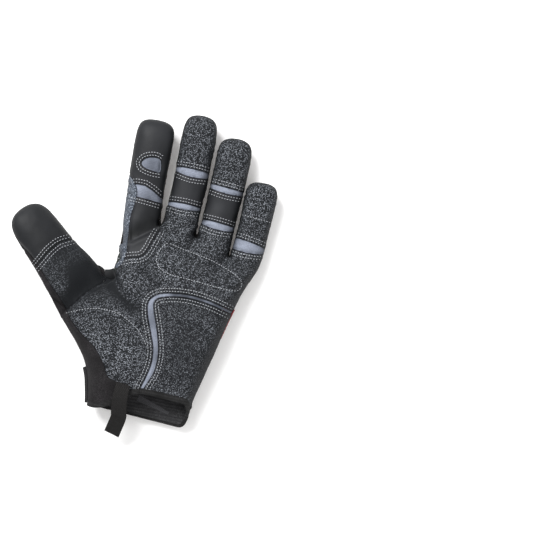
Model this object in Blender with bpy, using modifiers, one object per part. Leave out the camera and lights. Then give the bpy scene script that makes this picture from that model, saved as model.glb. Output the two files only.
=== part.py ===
"""A left work glove for handling winch rope, lying palm up.

The hand is one hollow cage that Subdivision Surface rounds off. Its skin is given a wall, parted into a palm half
and a back half at the side seams, and each half is cut into its sewn panels along the seam lines.
+X points to the pinky side, +Y to the fingertips and +Z out of the palm. The origin is on the back of the hand,
on the surface that the glove rests on, under the middle of the palm.
"""

import math
from collections import namedtuple

import bmesh
import bpy
from mathutils import Matrix, Vector
from mathutils.bvhtree import BVHTree
from mathutils.geometry import interpolate_bezier

MM = 0.001

# Driving sizes of the hand
INDEX_WIDTH = 31.0 * MM
MIDDLE_WIDTH = 28.4 * MM
RING_WIDTH = 28.4 * MM
PINKY_WIDTH = 26.4 * MM
INDEX_LENGTH = 82.0 * MM
MIDDLE_LENGTH = 93.0 * MM
RING_LENGTH = 86.0 * MM
PINKY_LENGTH = 65.0 * MM
FINGER_HEIGHT = 23.0 * MM
FINGER_CURL = 8.0 * MM
FINGER_GAP = 0.8 * MM
PALM_LENGTH = 116.0 * MM
PALM_HEIGHT = 34.0 * MM
THUMB_LENGTH = 98.0 * MM
THUMB_WIDTH = 37.5 * MM
THUMB_HEIGHT = 25.0 * MM
THUMB_ANGLE = math.radians(46.6)
THUMB_TWIST = math.radians(20)

# Driving sizes of the cloth, the strap and the small pieces
WALL = 1.6 * MM
SEAM_GAP = 0.3 * MM
SEAT_GAP = 0.3 * MM
WELD = 0.01 * MM
BINDING_RADIUS = 1.5 * MM
STRAP_WIDTH = 34.0 * MM
STRAP_THICKNESS = 2.2 * MM
BADGE_LENGTH = 66.0 * MM
BADGE_WIDTH = 25.0 * MM
BADGE_THICKNESS = 1.8 * MM
RELIEF_THICKNESS = 1.6 * MM
LOOP_WIDTH = 12.0 * MM
LOOP_REACH = 44.0 * MM
WEBBING_THICKNESS = 1.1 * MM

KNUCKLE_WIDTH = INDEX_WIDTH + MIDDLE_WIDTH + RING_WIDTH + PINKY_WIDTH
WRIST_LIFT = STRAP_THICKNESS + BADGE_THICKNESS + RELIEF_THICKNESS + 4 * SEAT_GAP

# Share of the palm's width at which the knuckle line starts, left of the origin
KNUCKLE_LEFT = 0.457
# How far the outermost palm and back columns stand in from the side seam, and how full the corners are
EDGE_INSET = 0.045
CORNER_ACROSS = 0.74
CORNER_UP = 0.76
# A smoothed ring of eight points is this share of its cage's width
SMOOTHED = 0.93

# How far each column of the palm side reaches down beside the pull loop, as a share of the back's extra length.
# There the knit of the thumb's side closes the cuff, and the mouth opens only beyond the loop.
CUFF_LAP = {0: 1.0, 1: 0.95, 2: 0.70, 3: 0.15}

# One row of the palm cage. Lengths along the hand are shares of the palm length, across it of the knuckle width,
# and up of the palm height. left_y and right_y are the palm side's, and the back reaches further by back_more.
# lap is how much of CUFF_LAP the row takes.
PalmRow = namedtuple("PalmRow", "left_y right_y back_more left right side thumb_top middle_top heel_top floor lap")
PALM_ROWS = (
    PalmRow(-0.760, -0.795, 0.178, -0.440, 0.270, 0.53, 0.92, 0.95, 0.92, None, 1.0),
    PalmRow(-0.690, -0.710, 0.120, -0.462, 0.285, 0.50, 0.98, 0.98, 0.97, None, 1.0),
    PalmRow(-0.605, -0.560, 0.050, -0.525, 0.328, 0.45, 1.08, 1.02, 1.04, None, 0.0),
    PalmRow(-0.330, -0.280, 0.000, -0.545, 0.405, 0.42, 1.12, 0.97, 1.06, 0.0, 0.0),
    PalmRow(-0.035, 0.000, 0.000, -0.440, 0.462, 0.39, 0.96, 0.88, 1.00, 0.0, 0.0),
    PalmRow(0.140, 0.095, 0.000, -0.448, 0.512, 0.37, 0.86, 0.86, 0.90, 0.0, 0.0),
)
# The knuckle line, by column from the index side: index edge, index, web, middle, web, ring, web, pinky, pinky edge
KNUCKLE_Y = (0.300, 0.322, 0.325, 0.322, 0.285, 0.255, 0.200, 0.195, 0.165)
KNUCKLE_TOP = (0.66, 0.78, 0.62, 0.78, 0.62, 0.78, 0.62, 0.76, 0.64)
KNUCKLE_FLOOR = (0.10, 0.0, 0.12, 0.0, 0.12, 0.0, 0.12, 0.0, 0.10)
KNUCKLE_SIDE = 0.37

# One ring of a finger: its place along the finger, its width and height as shares of the finger's, and its curl
FingerRing = namedtuple("FingerRing", "along width height curl")
FINGER_RINGS = (
    FingerRing(0.09, 0.99, 1.00, 0.00),
    FingerRing(0.34, 1.01, 0.98, 0.12),
    FingerRing(0.60, 1.02, 0.95, 0.42),
    FingerRing(0.84, 1.03, 0.88, 0.80),
    FingerRing(0.975, 0.82, 0.60, 1.00),
)
FINGER_END = 1.02

# One finger: its sizes, where its root stands on the knuckle line as a share of the palm length, and how far its tip
# stands off its root, as a share of its width
Finger = namedtuple("Finger", "name width length root lean")
FINGERS = (
    Finger("index", INDEX_WIDTH, INDEX_LENGTH, 0.315, -0.070),
    Finger("middle", MIDDLE_WIDTH, MIDDLE_LENGTH, 0.308, 0.030),
    Finger("ring", RING_WIDTH, RING_LENGTH, 0.262, 0.085),
    Finger("pinky", PINKY_WIDTH, PINKY_LENGTH, 0.185, 0.080),
)

# One ring of the thumb: its place along the thumb, its width and height as shares, how far its two ends slant,
# and its lift as a share of the palm height
ThumbRing = namedtuple("ThumbRing", "along width height slant lift")
THUMB_RINGS = (
    ThumbRing(0.20, 1.34, 1.16, 0.16, 0.56),
    ThumbRing(0.46, 1.04, 1.04, 0.04, 0.62),
    ThumbRing(0.68, 0.98, 1.00, 0.02, 0.66),
    ThumbRing(0.88, 0.98, 0.88, 0.00, 0.70),
    ThumbRing(0.985, 0.66, 0.56, 0.00, 0.71),
)
THUMB_END = 1.02
THUMB_ROOT = (-0.505, -0.328)

PALM_ZONE = 0
BACK_ZONE = 1
COLUMNS = 9
THUMB_ROWS = (2, 3, 4)

# One seam across a finger: its place along the finger at the finger's left edge, middle and right edge, and the name
# of the piece on its root side, which is left out where that piece has its name already
FingerSeam = namedtuple("FingerSeam", "left middle right below")
PALM_SEAMS = {
    "index": (
        FingerSeam(0.245, 0.235, 0.220, "index_base"),
        FingerSeam(0.330, 0.355, 0.245, "index_lower_inset"),
    ),
    "middle": (
        FingerSeam(0.205, 0.190, 0.208, ""),
        FingerSeam(0.232, 0.240, 0.230, "middle_lower_inset"),
        FingerSeam(0.500, 0.468, 0.485, "middle_pad"),
        FingerSeam(0.535, 0.538, 0.530, "middle_upper_inset"),
    ),
    "ring": (
        FingerSeam(0.180, 0.148, 0.160, ""),
        FingerSeam(0.222, 0.214, 0.198, "ring_lower_inset"),
        FingerSeam(0.512, 0.484, 0.490, "ring_pad"),
        FingerSeam(0.552, 0.538, 0.528, "ring_upper_inset"),
    ),
    "pinky": (
        FingerSeam(0.155, 0.135, 0.158, ""),
        FingerSeam(0.295, 0.268, 0.226, "pinky_inset"),
    ),
}
BACK_SEAMS = {
    "index": (
        FingerSeam(0.270, 0.280, 0.270, ""),
        FingerSeam(0.450, 0.460, 0.450, "index_band"),
        FingerSeam(0.690, 0.710, 0.690, "index_back"),
    ),
    "middle": (
        FingerSeam(0.300, 0.310, 0.300, ""),
        FingerSeam(0.430, 0.445, 0.430, "middle_band"),
        FingerSeam(0.755, 0.775, 0.755, "middle_back"),
    ),
    "ring": (
        FingerSeam(0.330, 0.340, 0.330, ""),
        FingerSeam(0.465, 0.480, 0.465, "ring_band"),
        FingerSeam(0.820, 0.840, 0.820, "ring_back"),
    ),
    "pinky": (
        FingerSeam(0.310, 0.320, 0.310, ""),
        FingerSeam(0.465, 0.480, 0.465, "pinky_band"),
        FingerSeam(0.820, 0.840, 0.820, "pinky_back"),
    ),
}

# Seam lines of the hand, in shares of the knuckle width and the palm length
GUSSET_LINE_THUMB = (
    (0.846, -0.566), (0.782, -0.459), (0.681, -0.397), (0.572, -0.379), (0.373, -0.402), (0.256, -0.404),
    (0.128, -0.453),
)
GUSSET_LINE_HAND = (
    (-0.609, -0.445), (-0.532, -0.503), (-0.468, -0.545), (-0.410, -0.598), (-0.363, -0.662), (-0.326, -0.730),
    (-0.245, -0.756), (-0.165, -0.785), (-0.110, -0.870),
)
INDEX_SIDE_LINE = (
    (-0.530, 0.640), (-0.469, 0.612), (-0.425, 0.566), (-0.394, 0.515), (-0.398, 0.440), (-0.411, 0.357),
    (-0.409, 0.278), (-0.390, 0.164), (-0.378, 0.100), (-0.388, 0.020), (-0.422, -0.018), (-0.462, -0.018),
    (-0.520, 0.040),
)
INDEX_BASE_LINE = (
    (-0.425, 0.036), (-0.340, 0.074), (-0.275, 0.092), (-0.239, 0.130), (-0.211, 0.211), (-0.187, 0.290),
    (-0.182, 0.380),
)
PIPING_OUTLINE = (
    (-0.105, -0.850), (-0.093, -0.773), (-0.067, -0.680), (-0.050, -0.585), (-0.059, -0.486), (-0.095, -0.388),
    (-0.134, -0.292), (-0.152, -0.225), (-0.146, -0.172), (-0.084, -0.122), (0.053, -0.096), (0.169, -0.096),
    (0.307, -0.117), (0.500, -0.170), (0.500, -0.190), (0.307, -0.134), (0.169, -0.114), (0.053, -0.114),
    (-0.075, -0.142), (-0.117, -0.184), (-0.106, -0.244), (-0.072, -0.332), (-0.039, -0.430), (-0.018, -0.530),
    (-0.023, -0.636), (-0.045, -0.702), (-0.074, -0.778), (-0.085, -0.850),
)
INDEX_INSET_OUTLINE = (
    (-0.270, 0.762), (-0.310, 0.775), (-0.371, 0.753), (-0.398, 0.711), (-0.371, 0.680), (-0.310, 0.666),
    (-0.252, 0.670),
)
BACK_STRIP_INNER = (
    (-0.530, 0.070), (-0.440, -0.020), (-0.400, -0.120), (-0.376, -0.280), (-0.360, -0.457), (-0.325, -0.640),
    (-0.300, -0.800), (-0.295, -1.100),
)
BACK_STRIP_OUTER = (
    (-0.540, 0.060), (-0.500, -0.050), (-0.500, -0.250), (-0.470, -0.450), (-0.410, -0.640), (-0.385, -0.800),
    (-0.380, -1.100),
)
KNUCKLE_PANEL_TOP = (
    (-0.520, 0.040), (-0.433, 0.086), (-0.338, 0.177), (-0.184, 0.224), (-0.030, 0.224), (0.121, 0.193),
    (0.263, 0.138), (0.410, 0.074), (0.560, 0.030),
)
KNUCKLE_PANEL_BOTTOM = (
    (-0.440, -0.290), (-0.350, -0.255), (-0.263, -0.224), (-0.072, -0.172), (0.125, -0.152), (0.263, -0.181),
    (0.480, -0.280),
)
RED_PANEL_LINE = ((0.180, 0.220), (0.240, 0.120), (0.330, 0.020), (0.350, -0.090), (0.320, -0.260))

# Seam lines of the thumb, in shares of its length along it and of its width across it
THUMB_FOLD_LINE = (
    (0.350, 0.900), (0.230, 0.700), (0.160, 0.560), (0.165, 0.107), (0.141, -0.369), (0.166, -0.803),
)
THUMB_CAP_LINE = ((0.545, -0.70), (0.560, -0.36), (0.594, 0.00), (0.600, 0.25), (0.576, 0.47), (0.555, 0.75))
THUMB_WRAP_LINE = ((0.700, -0.75), (0.720, -0.36), (0.735, 0.00), (0.720, 0.36), (0.700, 0.75))
THUMB_PATCH_LINE = ((0.290, 0.80), (0.330, 0.30), (0.450, 0.08), (0.580, 0.10), (0.660, 0.30), (0.690, 0.80))

# The strap's outline in shares of the knuckle width, from its middle, and of its own width
STRAP_MIDDLE_Y = -0.800
STRAP_OUTLINE = ((-0.60, -0.50), (0.22, -0.50), (0.272, -0.12), (0.235, 0.50), (-0.42, 0.50), (-0.60, 0.10))
BADGE_MIDDLE_X = -0.075

# The pull loop: where it starts, which way it leans, and its heights along its reach
LOOP_X = -0.140
LOOP_START = -0.740
LOOP_LEAN = -0.25
LOOP_LINE = ((0.00, 1.08), (0.19, 1.12), (0.40, 1.08), (0.66, 0.88), (1.00, 0.46))

# A spot that is on the palm panel and on the knit of the fingers' backs alike
HAND_MARKER = (0.0, 0.25)

# Colour, roughness and metal share of each material
LOOKS = {
    "black_leather": ((0.030, 0.031, 0.034), 0.75),
    "smooth_leather": ((0.028, 0.030, 0.033), 0.50),
    "grey_panel": ((0.300, 0.300, 0.340), 0.70),
    "grey_texture": ((0.110, 0.112, 0.120), 0.75),
    "black_knit": ((0.022, 0.018, 0.022), 0.90),
    "knuckle_leather": ((0.025, 0.033, 0.032), 0.70),
    "red_leather": ((0.550, 0.045, 0.050), 0.60),
    "webbing": ((0.012, 0.012, 0.013), 0.85),
    "moulded_black": ((0.020, 0.020, 0.022), 0.45),
    "silver": ((0.650, 0.660, 0.680), 0.30, 0.8),
    "moulded_grey": ((0.120, 0.130, 0.150), 0.50),
    "moulded_red": ((0.600, 0.020, 0.030), 0.40),
}
LOOK_OF = {
    "index_upper_inset": "grey_panel",
    "index_lower_inset": "grey_panel",
    "middle_upper_inset": "grey_panel",
    "middle_lower_inset": "grey_panel",
    "ring_upper_inset": "grey_panel",
    "ring_lower_inset": "grey_panel",
    "pinky_inset": "grey_panel",
    "palm_piping": "grey_panel",
    "index_side": "grey_texture",
    "thumb_patch": "grey_texture",
    "thumb_tip": "smooth_leather",
    "index_tip": "smooth_leather",
    "index_base": "smooth_leather",
    "middle_pad": "smooth_leather",
    "ring_pad": "smooth_leather",
    "thumb_gusset": "black_knit",
    "hand_back": "black_knit",
    "finger_backs": "black_knit",
    "index_back": "black_knit",
    "middle_back": "black_knit",
    "ring_back": "black_knit",
    "pinky_back": "black_knit",
    "thumb_back": "black_knit",
    "knuckle_panel": "knuckle_leather",
    "red_side_panel": "red_leather",
    "wrist_strap": "webbing",
    "cuff_binding": "webbing",
    "pull_loop": "webbing",
    "badge_base": "moulded_black",
    "badge_crescent": "silver",
    "badge_pad": "moulded_grey",
    "badge_plate": "moulded_red",
}


def material(name, colour, roughness, metallic=0.0):
    made = bpy.data.materials.new(name)
    made.use_nodes = True
    shader = made.node_tree.nodes["Principled BSDF"]
    shader.inputs["Base Color"].default_value = (*colour, 1.0)
    shader.inputs["Roughness"].default_value = roughness
    shader.inputs["Metallic"].default_value = metallic
    return made


def collection(name):
    made = bpy.data.collections.new(name)
    bpy.context.scene.collection.children.link(made)
    return made


def add_object(name, mesh, group):
    made = bpy.data.objects.new(name, mesh)
    group.objects.link(made)
    return made


def make_guide(obj):
    obj.hide_render = True
    obj.display_type = "WIRE"


def evaluated_mesh(obj):
    bpy.context.view_layer.update()
    graph = bpy.context.evaluated_depsgraph_get()
    return bpy.data.meshes.new_from_object(obj.evaluated_get(graph))


def mix(a, b, share):
    return a + (b - a) * share


def column_shares():
    """Where the nine columns of the palm stand across it, from the index edge to the pinky edge."""
    shares = [EDGE_INSET]
    reached = 0.0
    for finger in FINGERS:
        shares.append((reached + finger.width / 2) / KNUCKLE_WIDTH)
        reached += finger.width
        shares.append(reached / KNUCKLE_WIDTH)
    shares[-1] = 1 - EDGE_INSET
    return shares


def across_profile(share, left, middle, right):
    """A height between the thumb side, the middle and the heel side of the palm."""
    if share < 0.5:
        return mix(left, middle, share / 0.5)
    return mix(middle, right, (share - 0.5) / 0.5)


def palm_ring(row):
    """The 20 points of one palm row: index side, palm columns, pinky side, back columns in return."""
    floor = WRIST_LIFT if row.floor is None else row.floor * PALM_HEIGHT
    side = row.side * PALM_HEIGHT
    palm, back = [], []
    for column, share in enumerate(column_shares()):
        x = mix(row.left, row.right, share) * KNUCKLE_WIDTH
        y = mix(row.left_y, row.right_y, share) * PALM_LENGTH
        top = across_profile(share, row.thumb_top, row.middle_top, row.heel_top) * PALM_HEIGHT
        bottom = floor
        if column in (0, COLUMNS - 1):
            top = mix(side, top, CORNER_UP)
            bottom = mix(side, bottom, CORNER_UP)
        lap = row.lap * row.back_more * CUFF_LAP.get(column, 0) * PALM_LENGTH
        palm.append(Vector((x, y - lap, top)))
        back.append(Vector((x, y - row.back_more * PALM_LENGTH, bottom)))
    half_more = row.back_more * PALM_LENGTH / 2
    left_more = half_more * (1 + row.lap * CUFF_LAP[0])
    left = Vector((row.left * KNUCKLE_WIDTH, row.left_y * PALM_LENGTH - left_more, side))
    right = Vector((row.right * KNUCKLE_WIDTH, row.right_y * PALM_LENGTH - half_more, side))
    return [left, *palm, right, *reversed(back)]


def knuckle_ring():
    palm, back = [], []
    for share, y, top, floor in zip(column_shares(), KNUCKLE_Y, KNUCKLE_TOP, KNUCKLE_FLOOR):
        x = (share - KNUCKLE_LEFT) * KNUCKLE_WIDTH
        palm.append(Vector((x, y * PALM_LENGTH, top * PALM_HEIGHT)))
        back.append(Vector((x, y * PALM_LENGTH, floor * PALM_HEIGHT)))
    side = KNUCKLE_SIDE * PALM_HEIGHT
    left = Vector((-KNUCKLE_LEFT * KNUCKLE_WIDTH, KNUCKLE_Y[0] * PALM_LENGTH, side))
    right = Vector(((1 - KNUCKLE_LEFT) * KNUCKLE_WIDTH, KNUCKLE_Y[-1] * PALM_LENGTH, side))
    return [left, *palm, right, *reversed(back)]


def ring_points(centre, across, up, half_width, half_height):
    """Eight points round a digit: left, upper left, top, upper right, right, lower right, bottom, lower left."""
    corner_x = half_width * CORNER_ACROSS
    corner_z = half_height * CORNER_UP
    spots = (
        (-half_width, 0),
        (-corner_x, corner_z),
        (0, half_height),
        (corner_x, corner_z),
        (half_width, 0),
        (corner_x, -corner_z),
        (0, -half_height),
        (-corner_x, -corner_z),
    )
    return [centre + across * x + up * z for x, z in spots]


def finger_centre(finger, along):
    """The middle of a finger, seen from above, at a share of its length."""
    number = FINGERS.index(finger)
    root = (column_shares()[2 * number + 1] - KNUCKLE_LEFT) * KNUCKLE_WIDTH
    x = root + finger.lean * finger.width * along
    y = finger.root * PALM_LENGTH + finger.length * along
    return Vector((x, y, 0))


def thumb_frame():
    """The thumb's root, the way that it points and the way across it, seen from above."""
    root = Vector((THUMB_ROOT[0] * KNUCKLE_WIDTH, THUMB_ROOT[1] * PALM_LENGTH, 0))
    forward = Vector((-math.sin(THUMB_ANGLE), math.cos(THUMB_ANGLE), 0))
    across = Vector((math.cos(THUMB_ANGLE), math.sin(THUMB_ANGLE), 0))
    return root, forward, across


def finger_rings(finger):
    half_width = (finger.width - FINGER_GAP) / 2 / SMOOTHED
    half_height = FINGER_HEIGHT / 2 / SMOOTHED
    for ring in FINGER_RINGS:
        centre = finger_centre(finger, ring.along)
        centre.z = FINGER_HEIGHT / 2 * ring.height + FINGER_CURL * ring.curl
        yield ring_points(
            centre, Vector((1, 0, 0)), Vector((0, 0, 1)), half_width * ring.width, half_height * ring.height
        )


def thumb_rings():
    root, forward, across = thumb_frame()
    tilt = Matrix.Rotation(THUMB_TWIST, 3, forward)
    for ring in THUMB_RINGS:
        centre = root + forward * THUMB_LENGTH * ring.along
        centre.z = ring.lift * PALM_HEIGHT
        slanted = (tilt @ across) + forward * ring.slant
        yield ring_points(
            centre,
            slanted,
            tilt @ Vector((0, 0, 1)),
            THUMB_WIDTH / 2 / SMOOTHED * ring.width,
            THUMB_HEIGHT / 2 / SMOOTHED * ring.height,
        )


def join_rings(bm, first, second, zones):
    """Faces between two rings of as many vertices, closed round. zones gives the zone of each face."""
    count = len(first)
    for i in range(count):
        j = (i + 1) % count
        face = bm.faces.new((first[i], first[j], second[j], second[i]))
        face.material_index = zones[i]


def close_tip(bm, ring, centre):
    """Four faces from a ring of eight to the tip, two on the palm side and two on the back."""
    tip = bm.verts.new(centre)
    for i in range(0, 8, 2):
        face = bm.faces.new((tip, ring[i], ring[i + 1], ring[(i + 2) % 8]))
        face.material_index = PALM_ZONE if i < 4 else BACK_ZONE


def grow_digit(bm, root_ring, rings, tip, zones):
    ring_before = root_ring
    for points in rings:
        ring = [bm.verts.new(p) for p in points]
        join_rings(bm, ring_before, ring, zones)
        ring_before = ring
    close_tip(bm, ring_before, tip)


def make_cage(group):
    """The coarse cage of the whole glove, open at the cuff."""
    bm = bmesh.new()
    rows = [[bm.verts.new(p) for p in palm_ring(row)] for row in PALM_ROWS]
    rows.append([bm.verts.new(p) for p in knuckle_ring()])
    around = len(rows[0])
    palm_faces = range(0, COLUMNS + 1)
    for number in range(len(rows) - 1):
        in_thumb = THUMB_ROWS[0] <= number < THUMB_ROWS[-1]
        for i in range(around):
            if in_thumb and i in (0, around - 1):
                continue
            j = (i + 1) % around
            face = bm.faces.new((rows[number][i], rows[number][j], rows[number + 1][j], rows[number + 1][i]))
            face.material_index = PALM_ZONE if i in palm_faces else BACK_ZONE

    knuckles = rows[-1]
    webs = [knuckles[0]]
    for column in (2, 4, 6):
        high, low = knuckles[1 + column], knuckles[around - 1 - column]
        webs.append(bm.verts.new((high.co + low.co) / 2))
    webs.append(knuckles[COLUMNS + 1])
    digit_zones = [PALM_ZONE] * 4 + [BACK_ZONE] * 4
    for number, finger in enumerate(FINGERS):
        first = 2 * number
        palm = [knuckles[1 + first + step] for step in range(3)]
        back = [knuckles[around - 1 - first - step] for step in (2, 1, 0)]
        root_ring = [webs[number], *palm, webs[number + 1], *back]
        tip = finger_centre(finger, FINGER_END)
        tip.z = FINGER_HEIGHT / 2 * FINGER_RINGS[-1].height + FINGER_CURL
        grow_digit(bm, root_ring, finger_rings(finger), tip, digit_zones)

    low, middle, high = (rows[number] for number in THUMB_ROWS)
    last = around - 1
    root_ring = [low[0], low[1], middle[1], high[1], high[0], high[last], middle[last], low[last]]
    root, forward, _ = thumb_frame()
    tip = root + forward * THUMB_LENGTH * THUMB_END
    tip.z = THUMB_RINGS[-1].lift * PALM_HEIGHT
    grow_digit(bm, root_ring, thumb_rings(), tip, digit_zones)
    # The middle side point of the thumb's rows has no face, because the thumb grows from there.
    bmesh.ops.delete(bm, geom=[v for v in bm.verts if not v.link_faces], context="VERTS")
    bmesh.ops.recalc_face_normals(bm, faces=bm.faces)
    mesh = bpy.data.meshes.new("glove_cage")
    bm.to_mesh(mesh)
    bm.free()
    for _ in (PALM_ZONE, BACK_ZONE):
        mesh.materials.append(None)
    cage = add_object("glove_cage", mesh, group)
    make_guide(cage)
    smooth = cage.modifiers.new("round", "SUBSURF")
    smooth.levels = smooth.render_levels = 1
    return cage


def half_wall(skin, zone, name):
    """One half of the glove as a closed wall, parted from the other half at the side seams."""
    bm = bmesh.new()
    bm.from_mesh(skin)
    outward = bm.verts.layers.float_vector.new("outward")
    at_cuff = bm.verts.layers.int.new("at_cuff")
    for vert in bm.verts:
        vert[outward] = vert.normal
        vert[at_cuff] = int(vert.is_boundary)
    others = [face for face in bm.faces if face.material_index != zone]
    bmesh.ops.delete(bm, geom=others, context="FACES")
    moves = {}
    for vert in bm.verts:
        if not vert.is_boundary:
            continue
        rim = [edge for edge in vert.link_edges if edge.is_boundary]
        along = (rim[0].other_vert(vert).co - rim[1].other_vert(vert).co).normalized()
        inward = sum((face.calc_center_median() - vert.co for face in vert.link_faces), Vector())
        inward -= along * inward.dot(along)
        if vert[at_cuff] and all(edge.other_vert(vert)[at_cuff] for edge in rim):
            continue
        moves[vert] = inward.normalized() * SEAM_GAP / 2
    for vert, move in moves.items():
        vert.co += move
    grown = bmesh.ops.extrude_face_region(bm, geom=bm.faces[:], use_keep_orig=True)
    for item in grown["geom"]:
        if isinstance(item, bmesh.types.BMVert):
            item.co -= Vector(item[outward]) * WALL
    bmesh.ops.recalc_face_normals(bm, faces=bm.faces)
    mesh = bpy.data.meshes.new(name)
    bm.to_mesh(mesh)
    bm.free()
    return mesh


def smooth_line(spots, closed=False, steps=1):
    """Points of a smooth curve through the spots, with steps new points in each span."""
    count = len(spots)
    handles = []
    for i, spot in enumerate(spots):
        before = spots[i - 1] if i > 0 or closed else spot
        after = spots[(i + 1) % count] if i < count - 1 or closed else spot
        handles.append((after - before) / 6)
    line = []
    for i in range(count if closed else count - 1):
        j = (i + 1) % count
        points = interpolate_bezier(spots[i], spots[i] + handles[i], spots[j] - handles[j], spots[j], steps + 1)
        line += points[:-1]
    if not closed:
        line.append(spots[-1])
    return line


def hand_spots(shares):
    return [Vector((x * KNUCKLE_WIDTH, y * PALM_LENGTH, 0)) for x, y in shares]


def thumb_spots(shares):
    root, forward, across = thumb_frame()
    return [root + forward * THUMB_LENGTH * along + across * THUMB_WIDTH * side for along, side in shares]


def finger_seam_spots(finger, seam):
    """A seam across one finger, from the gap on its left to the gap on its right."""
    reach = finger.width * 0.53
    spots = []
    for along, side in ((seam.left, -1), (seam.middle, 0), (seam.right, 1)):
        spots.append(finger_centre(finger, along) + Vector((side * reach, 0, 0)))
    return spots


def ribbon(name, line, closed, group):
    """An upright strip as thick as a seam gap, along a line seen from above."""
    bm = bmesh.new()
    count = len(line)
    rails = ([], [])
    for i, spot in enumerate(line):
        before = line[i - 1] if i > 0 or closed else spot
        after = line[(i + 1) % count] if i < count - 1 or closed else spot
        along = (after - before).normalized()
        side = Vector((-along.y, along.x, 0)) * SEAM_GAP / 2
        for rail, offset in zip(rails, (side, -side)):
            low = bm.verts.new(spot + offset - Vector((0, 0, PALM_HEIGHT)))
            high = bm.verts.new(spot + offset + Vector((0, 0, 2 * PALM_HEIGHT)))
            rail.append((low, high))
    left, right = rails
    for i in range(count if closed else count - 1):
        j = (i + 1) % count
        bm.faces.new((left[i][0], left[j][0], left[j][1], left[i][1]))
        bm.faces.new((right[j][0], right[i][0], right[i][1], right[j][1]))
        bm.faces.new((left[i][1], left[j][1], right[j][1], right[i][1]))
        bm.faces.new((left[j][0], left[i][0], right[i][0], right[j][0]))
    if not closed:
        bm.faces.new((left[0][0], left[0][1], right[0][1], right[0][0]))
        bm.faces.new((left[-1][1], left[-1][0], right[-1][0], right[-1][1]))
    bmesh.ops.recalc_face_normals(bm, faces=bm.faces)
    mesh = bpy.data.meshes.new(name)
    bm.to_mesh(mesh)
    bm.free()
    cutter = add_object(name, mesh, group)
    make_guide(cutter)
    return cutter


def islands(mesh):
    """The separate bodies of a mesh, each as a mesh of its own."""
    bm = bmesh.new()
    bm.from_mesh(mesh)
    bmesh.ops.remove_doubles(bm, verts=bm.verts, dist=WELD)
    bm.verts.index_update()
    waiting = set(bm.verts)
    found = []
    while waiting:
        body = {waiting.pop()}
        edge_of_body = list(body)
        while edge_of_body:
            vert = edge_of_body.pop()
            for edge in vert.link_edges:
                other = edge.other_vert(vert)
                if other not in body:
                    body.add(other)
                    edge_of_body.append(other)
        waiting -= body
        alone = bm.copy()
        keep = {vert.index for vert in body}
        alone.verts.ensure_lookup_table()
        bmesh.ops.delete(alone, geom=[v for v in alone.verts if v.index not in keep], context="VERTS")
        part_mesh = bpy.data.meshes.new(mesh.name)
        alone.to_mesh(part_mesh)
        alone.free()
        found.append(part_mesh)
    bm.free()
    return found


def covers(mesh, spot):
    """Whether an upright line through the spot passes through the mesh."""
    tree = BVHTree.FromPolygons([v.co for v in mesh.vertices], [tuple(p.vertices) for p in mesh.polygons])
    hit = tree.ray_cast(Vector((spot.x, spot.y, 4 * PALM_HEIGHT)), Vector((0, 0, -1)))
    return hit[0] is not None


def cut(pieces, name, line, markers, guides, closed=False):
    """Cuts a piece along a line. markers gives a spot inside each new piece, by name."""
    cutter = ribbon("seam_" + "_".join(markers), line, closed, guides)
    obj = add_object(name, pieces.pop(name), guides)
    boolean = obj.modifiers.new("seam", "BOOLEAN")
    boolean.operation = "DIFFERENCE"
    boolean.solver = "EXACT"
    boolean.object = cutter
    result = evaluated_mesh(obj)
    bpy.data.objects.remove(obj)
    bodies = islands(result)
    if len(bodies) != len(markers):
        raise ValueError(f"{name} came apart into {len(bodies)} bodies at {', '.join(markers)}")
    for new_name, spot in markers.items():
        body = next(b for b in bodies if covers(b, spot))
        bodies.remove(body)
        pieces[new_name] = body


def cut_finger(pieces, finger, seams, root_piece, last_name, guides):
    """Cuts a finger across at each seam, from its root to its tip."""
    current = root_piece
    below = 0.05
    for number, seam in enumerate(seams):
        following = seams[number + 1].middle if number + 1 < len(seams) else 0.9
        is_last = number + 1 == len(seams)
        rest = last_name if is_last else finger.name + "_rest"
        if seam.below:
            root_name, root_spot = seam.below, finger_centre(finger, (below + seam.middle) / 2)
        else:
            root_name, root_spot = current, hand_spots([HAND_MARKER])[0]
        markers = {root_name: root_spot, rest: finger_centre(finger, (seam.middle + following) / 2)}
        cut(pieces, current, smooth_line(finger_seam_spots(finger, seam)), markers, guides)
        current = rest
        below = seam.middle


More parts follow.
